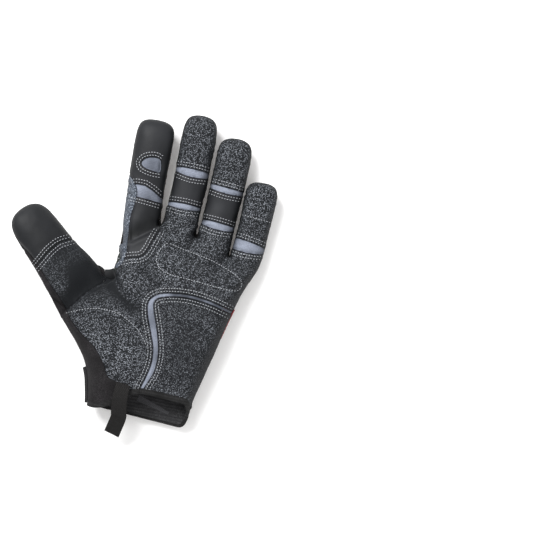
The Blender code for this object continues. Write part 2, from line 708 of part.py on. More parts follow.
def palm_panels(half, guides):
    pieces = {"palm_half": half}
    palm = hand_spots([HAND_MARKER])[0]
    index = FINGERS[0]
    index_tip = finger_centre(index, 0.9)
    index_base = finger_centre(index, 0.05)
    side = finger_centre(index, 0.15) - Vector((index.width * 0.4, 0, 0))
    thumb = thumb_spots([(0.45, 0.1)])[0]
    thumb_tip = thumb_spots([(0.8, 0)])[0]
    gusset = hand_spots([(-0.40, -0.72)])[0]
    piping = hand_spots([(-0.035, -0.60)])[0]
    heel = hand_spots([(0.15, -0.45)])[0]
    gusset_line = thumb_spots(GUSSET_LINE_THUMB) + hand_spots(GUSSET_LINE_HAND)
    cut(pieces, "palm_half", smooth_line(gusset_line),
        {"palm_panel": palm, "thumb_gusset": gusset}, guides)
    cut(pieces, "palm_panel", smooth_line(thumb_spots(THUMB_FOLD_LINE)),
        {"palm_panel": palm, "thumb_palm": thumb}, guides)
    cut(pieces, "thumb_palm", smooth_line(thumb_spots(THUMB_CAP_LINE)),
        {"thumb_palm": thumb, "thumb_tip": thumb_tip}, guides)
    cut(pieces, "palm_panel", smooth_line(hand_spots(INDEX_SIDE_LINE)),
        {"palm_panel": palm, "index_side": side}, guides)
    cut(pieces, "palm_panel", smooth_line(hand_spots(PIPING_OUTLINE)),
        {"palm_panel": palm, "palm_piping": piping, "heel_panel": heel}, guides)
    cut(pieces, "palm_panel", smooth_line(hand_spots(INDEX_BASE_LINE)),
        {"palm_panel": palm, "index_base": index_base}, guides)
    cut_finger(pieces, index, PALM_SEAMS["index"], "index_base", "index_tip", guides)
    inset = hand_spots([(-0.33, 0.72)])[0]
    cut(pieces, "index_tip", smooth_line(hand_spots(INDEX_INSET_OUTLINE), True),
        {"index_tip": index_tip, "index_upper_inset": inset}, guides, True)
    for finger in FINGERS[1:]:
        cut_finger(pieces, finger, PALM_SEAMS[finger.name], "palm_panel", finger.name + "_tip", guides)
    return pieces


def back_panels(half, guides):
    pieces = {"hand_back": half}
    back, thumb, strip, fingers, panel, red = hand_spots(
        [(0.0, -0.5), (-0.62, -0.28), (-0.42, -0.30), (0.0, 0.25), (-0.05, 0.0), (0.43, -0.05)]
    )
    patch = thumb_spots([(0.5, 0.35)])[0]
    wrap = thumb_spots([(0.88, 0)])[0]
    cut(pieces, "hand_back", smooth_line(hand_spots(BACK_STRIP_INNER)),
        {"hand_back": back, "back_strip": strip}, guides)
    cut(pieces, "back_strip", smooth_line(hand_spots(BACK_STRIP_OUTER)),
        {"thumb_back": thumb, "back_strip": strip}, guides)
    cut(pieces, "thumb_back", smooth_line(thumb_spots(THUMB_WRAP_LINE)),
        {"thumb_back": thumb, "thumb_wrap": wrap}, guides)
    cut(pieces, "thumb_back", smooth_line(thumb_spots(THUMB_PATCH_LINE)),
        {"thumb_back": thumb, "thumb_patch": patch}, guides)
    cut(pieces, "hand_back", smooth_line(hand_spots(KNUCKLE_PANEL_TOP)),
        {"hand_back": back, "finger_backs": fingers}, guides)
    cut(pieces, "hand_back", smooth_line(hand_spots(KNUCKLE_PANEL_BOTTOM)),
        {"hand_back": back, "knuckle_panel": panel}, guides)
    cut(pieces, "knuckle_panel", smooth_line(hand_spots(RED_PANEL_LINE)),
        {"knuckle_panel": panel, "red_side_panel": red}, guides)
    for finger in FINGERS:
        cut_finger(pieces, finger, BACK_SEAMS[finger.name], "finger_backs", finger.name + "_wrap", guides)
    return pieces


def prism(bm, outline, low, high):
    """A closed upright block on an outline, which runs anticlockwise seen from above."""
    bottom = [bm.verts.new((spot.x, spot.y, low)) for spot in outline]
    top = [bm.verts.new((spot.x, spot.y, high)) for spot in outline]
    bm.faces.new(reversed(bottom))
    bm.faces.new(top)
    for i in range(len(outline)):
        j = (i + 1) % len(outline)
        bm.faces.new((bottom[i], bottom[j], top[j], top[i]))


def mesh_of(name, build):
    """A new mesh that build fills in, with every face turned outward."""
    bm = bmesh.new()
    build(bm)
    bmesh.ops.recalc_face_normals(bm, faces=bm.faces)
    mesh = bpy.data.meshes.new(name)
    bm.to_mesh(mesh)
    bm.free()
    return mesh


def strap_mesh(skin, guides):
    """The closure strap: the skin of the wrist's back, moved outward and given the strap's thickness."""
    middle = STRAP_MIDDLE_Y * PALM_LENGTH
    reach = STRAP_WIDTH * 0.85

    def offset_skin(bm):
        bm.from_mesh(skin)
        outward = bm.verts.layers.float_vector.new("outward")
        for vert in bm.verts:
            vert[outward] = vert.normal
        spare = [
            face for face in bm.faces
            if face.material_index != BACK_ZONE or abs(face.calc_center_median().y - middle) > reach
        ]
        bmesh.ops.delete(bm, geom=spare, context="FACES")
        for vert in bm.verts:
            vert.co += Vector(vert[outward]) * SEAT_GAP
        grown = bmesh.ops.extrude_face_region(bm, geom=bm.faces[:], use_keep_orig=True)
        for item in grown["geom"]:
            if isinstance(item, bmesh.types.BMVert):
                item.co += Vector(item[outward]) * STRAP_THICKNESS

    outline = [Vector((x * KNUCKLE_WIDTH, middle + y * STRAP_WIDTH, 0)) for x, y in STRAP_OUTLINE]
    trimmer = add_object(
        "strap_outline", mesh_of("strap_outline", lambda bm: prism(bm, outline, -PALM_HEIGHT, PALM_HEIGHT)), guides
    )
    make_guide(trimmer)
    obj = add_object("strap", mesh_of("strap", offset_skin), guides)
    trim = obj.modifiers.new("trim", "BOOLEAN")
    trim.operation = "INTERSECT"
    trim.solver = "EXACT"
    trim.object = trimmer
    mesh = evaluated_mesh(obj)
    bpy.data.objects.remove(obj)
    return mesh


def oblong(middle_x, middle_y, length, width, steps=5):
    """The outline of a bar with round ends, anticlockwise."""
    radius = width / 2
    straight = length / 2 - radius
    outline = []
    for side, first in ((1, -math.pi / 2), (-1, math.pi / 2)):
        for step in range(steps + 1):
            angle = first + math.pi * step / steps
            outline.append(
                Vector((middle_x + side * straight + radius * math.cos(angle), middle_y + radius * math.sin(angle), 0))
            )
    return outline


def badge_meshes():
    """The moulded badge on the strap: its base, a crescent, a bare plate and the pad between them."""
    x = BADGE_MIDDLE_X * KNUCKLE_WIDTH
    y = STRAP_MIDDLE_Y * PALM_LENGTH
    top = WRIST_LIFT - STRAP_THICKNESS - 3 * SEAT_GAP
    base = oblong(x, y, BADGE_LENGTH, BADGE_WIDTH)
    made = {"badge_base": mesh_of("badge_base", lambda bm: prism(bm, base, top - BADGE_THICKNESS, top))}
    # The crescent opens to the thumb side, where the plate stands.
    radius = BADGE_WIDTH * 0.44
    ring = BADGE_WIDTH * 0.13
    centre_x = x + BADGE_LENGTH / 2 - BADGE_WIDTH / 2
    tail = BADGE_LENGTH * 0.30
    outer, inner = [], []
    for spots, size in ((outer, radius), (inner, radius - ring)):
        spots.append(Vector((centre_x - tail, y - size, 0)))
        for step in range(9):
            angle = -math.pi / 2 + math.pi * step / 8
            spots.append(Vector((centre_x + size * math.cos(angle), y + size * math.sin(angle), 0)))
        spots.append(Vector((centre_x - tail, y + size, 0)))
    crescent = outer + inner[::-1]
    made["badge_crescent"] = mesh_of("badge_crescent", lambda bm: prism(bm, crescent, 0, RELIEF_THICKNESS))
    pad_radius = radius - ring - 1.2 * MM
    pad = [Vector((centre_x - tail, y - pad_radius, 0))]
    for step in range(9):
        angle = -math.pi / 2 + math.pi * step / 8
        pad.append(Vector((centre_x + pad_radius * math.cos(angle), y + pad_radius * math.sin(angle), 0)))
    pad.append(Vector((centre_x - tail, y + pad_radius, 0)))
    made["badge_pad"] = mesh_of("badge_pad", lambda bm: prism(bm, pad, 0.4 * RELIEF_THICKNESS, RELIEF_THICKNESS))
    # The plate is a plain slanted four-sided panel.
    left = x - BADGE_LENGTH * 0.46
    right = centre_x - tail - 1.2 * MM
    slant = BADGE_WIDTH * 0.22
    plate = [
        Vector((left + slant, y - BADGE_WIDTH * 0.36, 0)),
        Vector((right, y - BADGE_WIDTH * 0.44, 0)),
        Vector((right - slant, y + BADGE_WIDTH * 0.44, 0)),
        Vector((left, y + BADGE_WIDTH * 0.30, 0)),
    ]
    made["badge_plate"] = mesh_of("badge_plate", lambda bm: prism(bm, plate, 0, RELIEF_THICKNESS))
    return made


def binding_mesh(skin):
    """The rolled binding, a ring just off the raw edge of the cuff's mouth."""
    def build(bm):
        bm.from_mesh(skin)
        start = next(vert for vert in bm.verts if vert.is_boundary)
        loop, normals = [], []
        previous, current = None, start
        while True:
            loop.append(current.co.copy())
            normals.append(current.normal.copy())
            rim = [e.other_vert(current) for e in current.link_edges if e.is_boundary]
            following = rim[0] if rim[0] is not previous else rim[1]
            previous, current = current, following
            if current is start:
                break
        bm.clear()
        loop, normals = loop[::2], normals[::2]
        rings = []
        for i, spot in enumerate(loop):
            along = (loop[(i + 1) % len(loop)] - loop[i - 1]).normalized()
            outward = (normals[i] - along * normals[i].dot(along)).normalized()
            away = outward.cross(along)
            if away.y > 0:
                away = -away
            centre = spot - outward * WALL / 2 + away * (BINDING_RADIUS + 3 * SEAT_GAP)
            ring = []
            for step in range(6):
                angle = math.tau * step / 6
                offset = away * math.cos(angle) + outward * math.sin(angle)
                ring.append(bm.verts.new(centre + offset * BINDING_RADIUS))
            rings.append(ring)
        for i, ring in enumerate(rings):
            join_rings(bm, ring, rings[(i + 1) % len(rings)], [0] * 6)

    return mesh_of("cuff_binding", build)


def loop_mesh():
    """The pull loop: webbing folded in two, from the palm's hem over the open cuff."""
    def build(bm):
        x = LOOP_X * KNUCKLE_WIDTH
        drop = Vector((LOOP_LEAN, -1, 0)).normalized()
        across = Vector((-drop.y, drop.x, 0)) * LOOP_WIDTH / 2
        spots = []
        for share, height in LOOP_LINE:
            spots.append(Vector((x, LOOP_START * PALM_LENGTH, height * PALM_HEIGHT)) + drop * LOOP_REACH * share)
        line = smooth_line(spots)
        gap = WEBBING_THICKNESS * 0.5
        sides = []
        for i, spot in enumerate(line):
            along = (line[min(i + 1, len(line) - 1)] - line[max(i - 1, 0)]).normalized()
            sides.append((spot, along, along.cross(across).normalized()))
        section = [spot - up * gap / 2 for spot, _, up in sides]
        end, along, up = sides[-1]
        section += [end + along * gap]
        section += [spot + up * gap / 2 for spot, _, up in reversed(sides)]
        outer = [spot - up * (gap / 2 + WEBBING_THICKNESS) for spot, _, up in sides]
        outer += [end + along * (gap + WEBBING_THICKNESS)]
        outer += [spot + up * (gap / 2 + WEBBING_THICKNESS) for spot, _, up in reversed(sides)]
        rails = [[bm.verts.new(p + side) for p in points] for points in (section, outer) for side in (-across, across)]
        in_left, in_right, out_left, out_right = rails
        for i in range(len(section) - 1):
            j = i + 1
            bm.faces.new((in_left[i], in_left[j], in_right[j], in_right[i]))
            bm.faces.new((out_left[j], out_left[i], out_right[i], out_right[j]))
            bm.faces.new((in_left[j], in_left[i], out_left[i], out_left[j]))
            bm.faces.new((in_right[i], in_right[j], out_right[j], out_right[i]))
        for i in (0, -1):
            bm.faces.new((in_left[i], in_right[i], out_right[i], out_left[i]))

    return mesh_of("pull_loop", build)


def clear_scene():
    for obj in list(bpy.data.objects):
        bpy.data.objects.remove(obj, do_unlink=True)


def main():
    clear_scene()
    parts = collection("winch_glove")
    guides = collection("guides_and_cutters")
    skin = evaluated_mesh(make_cage(guides))
    pieces = palm_panels(half_wall(skin, PALM_ZONE, "palm_half"), guides)
    pieces.update(back_panels(half_wall(skin, BACK_ZONE, "back_half"), guides))
    pieces["wrist_strap"] = strap_mesh(skin, guides)
    pieces.update(badge_meshes())
    pieces["cuff_binding"] = binding_mesh(skin)
    pieces["pull_loop"] = loop_mesh()
    cloth = {look: material(look, *values) for look, values in LOOKS.items()}
    for name, mesh in pieces.items():
        mesh.name = name
        mesh.materials.clear()
        mesh.materials.append(cloth[LOOK_OF.get(name, "black_leather")])
        mesh.polygons.foreach_set("material_index", [0] * len(mesh.polygons))
        for label in ("outward", "at_cuff"):
            if label in mesh.attributes:
                mesh.attributes.remove(mesh.attributes[label])
        add_object(name, mesh, parts)


main()
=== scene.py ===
import math
from collections import namedtuple

import bmesh
import bpy
import numpy as np
from mathutils import Matrix, Vector, noise
from mathutils.bvhtree import BVHTree
from mathutils.geometry import interpolate_bezier
from mathutils.kdtree import KDTree


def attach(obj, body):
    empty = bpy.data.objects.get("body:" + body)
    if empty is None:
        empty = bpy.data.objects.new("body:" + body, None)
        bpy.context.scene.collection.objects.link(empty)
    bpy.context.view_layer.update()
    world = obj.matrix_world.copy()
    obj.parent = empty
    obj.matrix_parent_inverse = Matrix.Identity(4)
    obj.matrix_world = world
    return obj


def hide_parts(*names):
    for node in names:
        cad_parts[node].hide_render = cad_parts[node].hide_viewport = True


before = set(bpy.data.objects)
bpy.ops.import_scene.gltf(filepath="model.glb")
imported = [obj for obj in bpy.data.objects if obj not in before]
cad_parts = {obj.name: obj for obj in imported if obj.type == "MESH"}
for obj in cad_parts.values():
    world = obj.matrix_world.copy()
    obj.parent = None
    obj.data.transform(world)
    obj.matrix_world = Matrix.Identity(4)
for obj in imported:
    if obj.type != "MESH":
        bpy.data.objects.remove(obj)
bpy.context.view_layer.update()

MM = 0.001


# The table that a left work glove for winch rope lies on, palm up, with the daylight round it and the lamp over it.
# The floor is matt and almost white. A large soft lamp at the upper left throws a short shadow to the lower right,
# and the sky light fills it.
PHOTO_TURN = math.radians(11.5)
PHOTO_WIDTH = 429 * MM
PHOTO_MIDDLE = (74.1 * MM, 17.8 * MM)
CAMERA_HEIGHT = 1.50
FOCUS_HEIGHT = 18 * MM
SENSOR = 36.0
SKY_STRENGTH = 0.84

scene = bpy.context.scene
scene.view_settings.view_transform = "Standard"
scene.view_settings.look = "None"
camera_data = bpy.data.cameras.new("photo_camera")
camera_data.sensor_width = SENSOR
camera_data.lens = SENSOR * (CAMERA_HEIGHT - FOCUS_HEIGHT) / PHOTO_WIDTH
camera_data.dof.use_dof = False
camera = bpy.data.objects.new("photo_camera", camera_data)
camera.location = (*PHOTO_MIDDLE, CAMERA_HEIGHT)
camera.rotation_euler = (0, 0, PHOTO_TURN)
scene.collection.objects.link(camera)
scene.camera = camera


def soft_lamp(name, place, width, power):
    """A square lamp at a place, turned towards the glove."""
    data = bpy.data.lights.new(name, "AREA")
    data.size = width
    data.energy = power
    lamp = bpy.data.objects.new(name, data)
    lamp.location = place
    lamp.rotation_euler = (-Vector(place)).to_track_quat("-Z", "Y").to_euler()
    scene.collection.objects.link(lamp)


soft_lamp("key_lamp", (-0.56, 0.60, 1.05), 0.60, 25.0)
soft_lamp("fill_lamp", (0.70, -0.30, 0.90), 0.90, 2.0)

world = bpy.data.worlds.new("studio")
world.use_nodes = True
sky = world.node_tree.nodes["Background"].inputs
sky["Color"].default_value = (1, 1, 1, 1)
sky["Strength"].default_value = SKY_STRENGTH
scene.world = world


class Shade:
    """A shader socket that can be added and multiplied, and that makes further nodes."""

    def __init__(self, tree, socket=None):
        self.tree = tree
        self.socket = socket

    def node(self, kind, settings=None, inputs=None, output=0):
        """Adds a node, sets it up, fills its sockets by name or number and gives one of its outputs."""
        made = self.tree.nodes.new("ShaderNode" + kind)
        for name, value in (settings or {}).items():
            setattr(made, name, value)
        for name, value in (inputs or {}).items():
            if isinstance(value, Shade):
                self.tree.links.new(value.socket, made.inputs[name])
            else:
                made.inputs[name].default_value = value
        return Shade(self.tree, made.outputs[output])

    def maths(self, operation, *values):
        return self.node("Math", {"operation": operation}, dict(enumerate(values)))

    def sine(self):
        return self.maths("SINE", self)

    def mix(self, low, high):
        """A colour between two, where this socket is the share of the second."""
        return self.node("Mix", {"data_type": "RGBA"}, {0: self, 6: (*low, 1), 7: (*high, 1)}, 2)

    def between(self, low, high):
        """This socket stretched so that low gives 0 and high gives 1, held inside that."""
        return self.node("MapRange", None, {"Value": self, "From Min": low, "From Max": high})

    def clouds(self, scale, detail, distortion=0.0):
        """Soft noise over this place."""
        inputs = {"Vector": self, "Scale": scale, "Detail": detail, "Distortion": distortion}
        return self.node("TexNoise", None, inputs)

    def cells(self, scale, output=0):
        """Small cells: how far this place is from its cell's middle, or with output 1 the cell's own colour."""
        return self.node("TexVoronoi", {"feature": "F1"}, {"Vector": self, "Scale": scale}, output)

    def axes(self):
        return [self.node("SeparateXYZ", None, {"Vector": self}, number) for number in range(3)]

    def wear_and_shade(self):
        """How rubbed the surface is, with the painted shade and painted highlight that are stored with it."""
        return self.node("Attribute", {"attribute_name": "wear_and_shade"}, None, 2)

    def bump(self, strength, distance):
        """The slopes of a surface that has this socket as its height."""
        return self.node("Bump", None, {"Strength": strength, "Distance": distance, "Height": self})

    def __add__(self, other):
        return self.maths("ADD", self, other)

    def __sub__(self, other):
        return self.maths("SUBTRACT", self, other)

    def __rsub__(self, other):
        return self.maths("SUBTRACT", other, self)

    def __mul__(self, other):
        return self.maths("MULTIPLY", self, other)

    __radd__ = __add__


def finish(name, dress, specular=0.5, **constants):
    """A material. The constants go on the shader's own sockets, and dress gives what changes over the surface."""
    made = bpy.data.materials.new(name)
    made.use_nodes = True
    tree = made.node_tree
    shader = tree.nodes["Principled BSDF"]
    shader.inputs["Specular IOR Level"].default_value = specular
    for label, value in constants.items():
        shader.inputs[label.replace("_", " ").title()].default_value = value
    for label, value in dress(Shade(tree).node("TexCoord", output=3)).items():
        tree.links.new(value.socket, shader.inputs[label])
    return made


def mesh_from(name, build):
    """A mesh of what build puts in a BMesh."""
    bm = bmesh.new()
    build(bm)
    mesh = bpy.data.meshes.new(name)
    bm.to_mesh(mesh)
    bm.free()
    return mesh


# The print has light floor even in the shadows, with a warm cast, so the floor glows a little.
FLOOR_GLOW = (1.0, 0.95, 0.91, 1.0)
FLOOR_GLOW_STRENGTH = 0.11


def pale_floor(place):
    return {"Base Color": place.clouds(6.0, 2.0).mix((0.90, 0.90, 0.90), (0.93, 0.93, 0.93))}


floor_mesh = mesh_from("floor", lambda bm: bmesh.ops.create_grid(bm, x_segments=1, y_segments=1, size=3.0))
floor_mesh.materials.append(finish(
    "pale_floor", pale_floor, roughness=0.9, emission_color=FLOOR_GLOW, emission_strength=FLOOR_GLOW_STRENGTH
))
floor = bpy.data.objects.new("floor", floor_mesh)
scene.collection.objects.link(floor)


# The shell of the hand: one seamless form that all the sewn panels are cut from, so that they meet as they do
# on the real glove. It is a coarse cage of rings round the palm and round each digit, which Subdivision Surface
# rounds off, and it follows the solids of the frame.
INDEX_WIDTH = 31.0 * MM
MIDDLE_WIDTH = 28.4 * MM
RING_WIDTH = 28.4 * MM
PINKY_WIDTH = 26.4 * MM
FINGER_HEIGHT = 23.0 * MM
FINGER_CURL = 8.0 * MM
FINGER_GAP = 0.8 * MM
PALM_LENGTH = 116.0 * MM
PALM_HEIGHT = 34.0 * MM
THUMB_LENGTH = 98.0 * MM
THUMB_WIDTH = 37.5 * MM
THUMB_HEIGHT = 25.0 * MM
THUMB_ANGLE = math.radians(46.6)
THUMB_TWIST = math.radians(20)
KNUCKLE_WIDTH = INDEX_WIDTH + MIDDLE_WIDTH + RING_WIDTH + PINKY_WIDTH
KNUCKLE_LEFT = 0.457
WRIST_LIFT = 6.8 * MM
EDGE_INSET = 0.045
CORNER_ACROSS = 0.74
CORNER_UP = 0.76
SMOOTHED = 0.93
SKIN_LEVELS = 4
COLUMNS = 9
THUMB_ROWS = (2, 3, 4)

# How far each column of the palm side reaches down beside the pull loop, as a share of the back's extra length
CUFF_LAP = {0: 1.0, 1: 0.95, 2: 0.70, 3: 0.15}

# One row of the palm. Lengths along the hand are shares of the palm length, across it of the knuckle width, and
# up of the palm height. The back reaches back_more further down than the palm, and lap says how much of CUFF_LAP
# the row takes.
PalmRow = namedtuple("PalmRow", "left_y right_y back_more left right side thumb_top middle_top heel_top floor lap")
PALM_ROWS = [PalmRow(*row) for row in (
    (-0.760, -0.795, 0.178, -0.440, 0.270, 0.53, 0.92, 0.95, 0.92, None, 1.0),
    (-0.690, -0.710, 0.120, -0.462, 0.285, 0.50, 0.98, 0.98, 0.97, None, 1.0),
    (-0.605, -0.560, 0.050, -0.525, 0.328, 0.45, 1.08, 1.02, 1.04, None, 0.0),
    (-0.330, -0.280, 0.000, -0.545, 0.405, 0.42, 1.12, 0.97, 1.06, 0.0, 0.0),
    (-0.035, 0.000, 0.000, -0.440, 0.462, 0.39, 0.96, 0.88, 1.00, 0.0, 0.0),
    (0.140, 0.095, 0.000, -0.448, 0.512, 0.37, 0.86, 0.86, 0.90, 0.0, 0.0),
)]
# The knuckle line by column, from the index finger's side
KNUCKLE_Y = (0.300, 0.322, 0.325, 0.322, 0.285, 0.255, 0.200, 0.195, 0.165)
KNUCKLE_TOP = (0.66, 0.78, 0.62, 0.78, 0.62, 0.78, 0.62, 0.76, 0.64)
KNUCKLE_FLOOR = (0.10, 0.0, 0.12, 0.0, 0.12, 0.0, 0.12, 0.0, 0.10)
KNUCKLE_SIDE = 0.37

# One ring of a finger: its place along it, its width and height as shares of the finger's, and its curl
FingerRing = namedtuple("FingerRing", "along width height curl")
FINGER_RINGS = [FingerRing(*row) for row in (
    (0.09, 0.98, 1.00, 0.00),
    (0.34, 0.97, 0.98, 0.12),
    (0.60, 0.99, 0.95, 0.42),
    (0.85, 1.03, 0.88, 0.80),
    (0.980, 0.88, 0.60, 1.00),
)]
FINGER_END = 1.02

# One finger: its root on the knuckle line as a share of the palm length, how far its tip leans off its root, and how
# far its middle bows sideways, both as shares of its width
Finger = namedtuple("Finger", "name width length root lean bow")
FINGERS = (
    Finger("index", INDEX_WIDTH, 82.0 * MM, 0.315, -0.070, -0.040),
    Finger("middle", MIDDLE_WIDTH, 93.0 * MM, 0.308, 0.045, 0.042),
    Finger("ring", RING_WIDTH, 86.0 * MM, 0.262, 0.095, 0.040),
    Finger("pinky", PINKY_WIDTH, 65.0 * MM, 0.185, 0.085, 0.040),
)

# One ring of the thumb: its place along it, its width and height as shares, its slant, and its lift as a share
# of the palm height
ThumbRing = namedtuple("ThumbRing", "along width height slant lift")
THUMB_RINGS = [ThumbRing(*row) for row in (
    (0.20, 1.34, 1.16, 0.16, 0.56),
    (0.46, 1.04, 1.04, 0.04, 0.62),
    (0.68, 0.98, 1.00, 0.02, 0.66),
    (0.88, 0.98, 0.88, 0.00, 0.70),
    (0.985, 0.66, 0.56, 0.00, 0.71),
)]
THUMB_END = 1.02
THUMB_ROOT = (-0.505, -0.328)
PALM_ZONE, BACK_ZONE = 0, 1


def blend(a, b, share):
    return a + (b - a) * share


def column_shares():
    """Where the nine columns of the palm stand across it, from the index edge to the pinky edge."""
    shares = [EDGE_INSET]
    reached = 0.0
    for finger in FINGERS:
        shares.append((reached + finger.width / 2) / KNUCKLE_WIDTH)
        reached += finger.width
        shares.append(reached / KNUCKLE_WIDTH)
    shares[-1] = 1 - EDGE_INSET
    return shares


def palm_ring(row):
    """The 20 points of one palm row: index side, palm columns, pinky side, back columns in return."""
    floor_height = WRIST_LIFT if row.floor is None else row.floor * PALM_HEIGHT
    side = row.side * PALM_HEIGHT
    palm, back = [], []
    for column, share in enumerate(column_shares()):
        x = blend(row.left, row.right, share) * KNUCKLE_WIDTH
        y = blend(row.left_y, row.right_y, share) * PALM_LENGTH
        if share < 0.5:
            top = blend(row.thumb_top, row.middle_top, share / 0.5) * PALM_HEIGHT
        else:
            top = blend(row.middle_top, row.heel_top, (share - 0.5) / 0.5) * PALM_HEIGHT
        bottom = floor_height
        if column in (0, COLUMNS - 1):
            top = blend(side, top, CORNER_UP)
            bottom = blend(side, bottom, CORNER_UP)
        lap = row.lap * row.back_more * CUFF_LAP.get(column, 0) * PALM_LENGTH
        palm.append(Vector((x, y - lap, top)))
        back.append(Vector((x, y - row.back_more * PALM_LENGTH, bottom)))
    half_more = row.back_more * PALM_LENGTH / 2
    left_more = half_more * (1 + row.lap * CUFF_LAP[0])
    left = Vector((row.left * KNUCKLE_WIDTH, row.left_y * PALM_LENGTH - left_more, side))
    right = Vector((row.right * KNUCKLE_WIDTH, row.right_y * PALM_LENGTH - half_more, side))
    return [left, *palm, right, *reversed(back)]


def knuckle_ring():
    palm, back = [], []
    for share, y, top, bottom in zip(column_shares(), KNUCKLE_Y, KNUCKLE_TOP, KNUCKLE_FLOOR):
        x = (share - KNUCKLE_LEFT) * KNUCKLE_WIDTH
        palm.append(Vector((x, y * PALM_LENGTH, top * PALM_HEIGHT)))
        back.append(Vector((x, y * PALM_LENGTH, bottom * PALM_HEIGHT)))
    side = KNUCKLE_SIDE * PALM_HEIGHT
    left = Vector((-KNUCKLE_LEFT * KNUCKLE_WIDTH, KNUCKLE_Y[0] * PALM_LENGTH, side))
    right = Vector(((1 - KNUCKLE_LEFT) * KNUCKLE_WIDTH, KNUCKLE_Y[-1] * PALM_LENGTH, side))
    return [left, *palm, right, *reversed(back)]


def digit_ring(centre, across, up, half_width, half_height):
    """Eight points round a digit: left, upper left, top, upper right, right, lower right, bottom, lower left."""
    corner_x = half_width * CORNER_ACROSS
    corner_z = half_height * CORNER_UP
    spots = (
        (-half_width, 0), (-corner_x, corner_z), (0, half_height), (corner_x, corner_z),
        (half_width, 0), (corner_x, -corner_z), (0, -half_height), (-corner_x, -corner_z),
    )
    return [centre + across * x + up * z for x, z in spots]


def finger_centre(finger, along):
    """The middle of a finger, seen from above, at a share of its length."""
    number = FINGERS.index(finger)
    root = (column_shares()[2 * number + 1] - KNUCKLE_LEFT) * KNUCKLE_WIDTH
    x = root + finger.width * (finger.lean * along + finger.bow * math.sin(math.pi * min(along, 1)))
    return Vector((x, finger.root * PALM_LENGTH + finger.length * along, 0))


def thumb_frame():
    """The thumb's root, the way that it points and the way across it, seen from above."""
    root = Vector((THUMB_ROOT[0] * KNUCKLE_WIDTH, THUMB_ROOT[1] * PALM_LENGTH, 0))
    forward = Vector((-math.sin(THUMB_ANGLE), math.cos(THUMB_ANGLE), 0))
    across = Vector((math.cos(THUMB_ANGLE), math.sin(THUMB_ANGLE), 0))
    return root, forward, across


def finger_rings(finger):
    half_width = (finger.width - FINGER_GAP) / 2 / SMOOTHED
    half_height = FINGER_HEIGHT / 2 / SMOOTHED
    for ring in FINGER_RINGS:
        centre = finger_centre(finger, ring.along)
        centre.z = FINGER_HEIGHT / 2 * ring.height + FINGER_CURL * ring.curl
        yield digit_ring(
            centre, Vector((1, 0, 0)), Vector((0, 0, 1)), half_width * ring.width, half_height * ring.height
        )


def thumb_rings():
    root, forward, across = thumb_frame()
    tilt = Matrix.Rotation(THUMB_TWIST, 3, forward)
    for ring in THUMB_RINGS:
        centre = root + forward * THUMB_LENGTH * ring.along
        centre.z = ring.lift * PALM_HEIGHT
        half_width = THUMB_WIDTH / 2 / SMOOTHED * ring.width
        half_height = THUMB_HEIGHT / 2 / SMOOTHED * ring.height
        yield digit_ring(
            centre, (tilt @ across) + forward * ring.slant, tilt @ Vector((0, 0, 1)), half_width, half_height
        )


def grow_digit(bm, root_ring, rings, tip_place):
    """A digit's faces, ring by ring from its root, closed by four faces at the tip."""
    before = root_ring
    for points in rings:
        ring = [bm.verts.new(p) for p in points]
        for i in range(8):
            j = (i + 1) % 8
            face = bm.faces.new((before[i], before[j], ring[j], ring[i]))
            face.material_index = PALM_ZONE if i < 4 else BACK_ZONE
        before = ring
    tip = bm.verts.new(tip_place)
    for i in range(0, 8, 2):
        face = bm.faces.new((tip, before[i], before[i + 1], before[(i + 2) % 8]))
        face.material_index = PALM_ZONE if i < 4 else BACK_ZONE


def glove_cage(bm):
    """The coarse cage of the whole glove, open at the cuff."""
    rows = [[bm.verts.new(p) for p in palm_ring(row)] for row in PALM_ROWS]
    rows.append([bm.verts.new(p) for p in knuckle_ring()])
    around = len(rows[0])
    for number in range(len(rows) - 1):
        in_thumb = THUMB_ROWS[0] <= number < THUMB_ROWS[-1]
        for i in range(around):
            if in_thumb and i in (0, around - 1):
                continue
            j = (i + 1) % around
            face = bm.faces.new((rows[number][i], rows[number][j], rows[number + 1][j], rows[number + 1][i]))
            face.material_index = PALM_ZONE if i <= COLUMNS else BACK_ZONE
    knuckles = rows[-1]
    webs = [knuckles[0]]
    for column in (2, 4, 6):
        webs.append(bm.verts.new((knuckles[1 + column].co + knuckles[around - 1 - column].co) / 2))
    webs.append(knuckles[COLUMNS + 1])
    for number, finger in enumerate(FINGERS):
        first = 2 * number
        palm = [knuckles[1 + first + step] for step in range(3)]
        back = [knuckles[around - 1 - first - step] for step in (2, 1, 0)]
        tip = finger_centre(finger, FINGER_END)
        tip.z = FINGER_HEIGHT / 2 * FINGER_RINGS[-1].height + FINGER_CURL
        grow_digit(bm, [webs[number], *palm, webs[number + 1], *back], finger_rings(finger), tip)
    low, middle, high = (rows[number] for number in THUMB_ROWS)
    last = around - 1
    root_ring = [low[0], low[1], middle[1], high[1], high[0], high[last], middle[last], low[last]]
    root, forward, _ = thumb_frame()
    tip = root + forward * THUMB_LENGTH * THUMB_END
    tip.z = THUMB_RINGS[-1].lift * PALM_HEIGHT
    grow_digit(bm, root_ring, thumb_rings(), tip)
    bmesh.ops.delete(bm, geom=[v for v in bm.verts if not v.link_faces], context="VERTS")
    bmesh.ops.recalc_face_normals(bm, faces=bm.faces)


def evaluated(obj):
    """An object's mesh with its modifiers applied."""
    bpy.context.view_layer.update()
    return bpy.data.meshes.new_from_object(obj.evaluated_get(bpy.context.evaluated_depsgraph_get()))


def hand_spots(shares):
    """Places on the hand, seen from above, from shares of the knuckle width and the palm length."""
    return [Vector((x * KNUCKLE_WIDTH, y * PALM_LENGTH, 0)) for x, y in shares]


def thumb_spots(shares):
    """Places on the thumb, seen from above, from shares of its length and its width."""
    root, forward, across = thumb_frame()
    return [root + forward * THUMB_LENGTH * along + across * THUMB_WIDTH * side for along, side in shares]


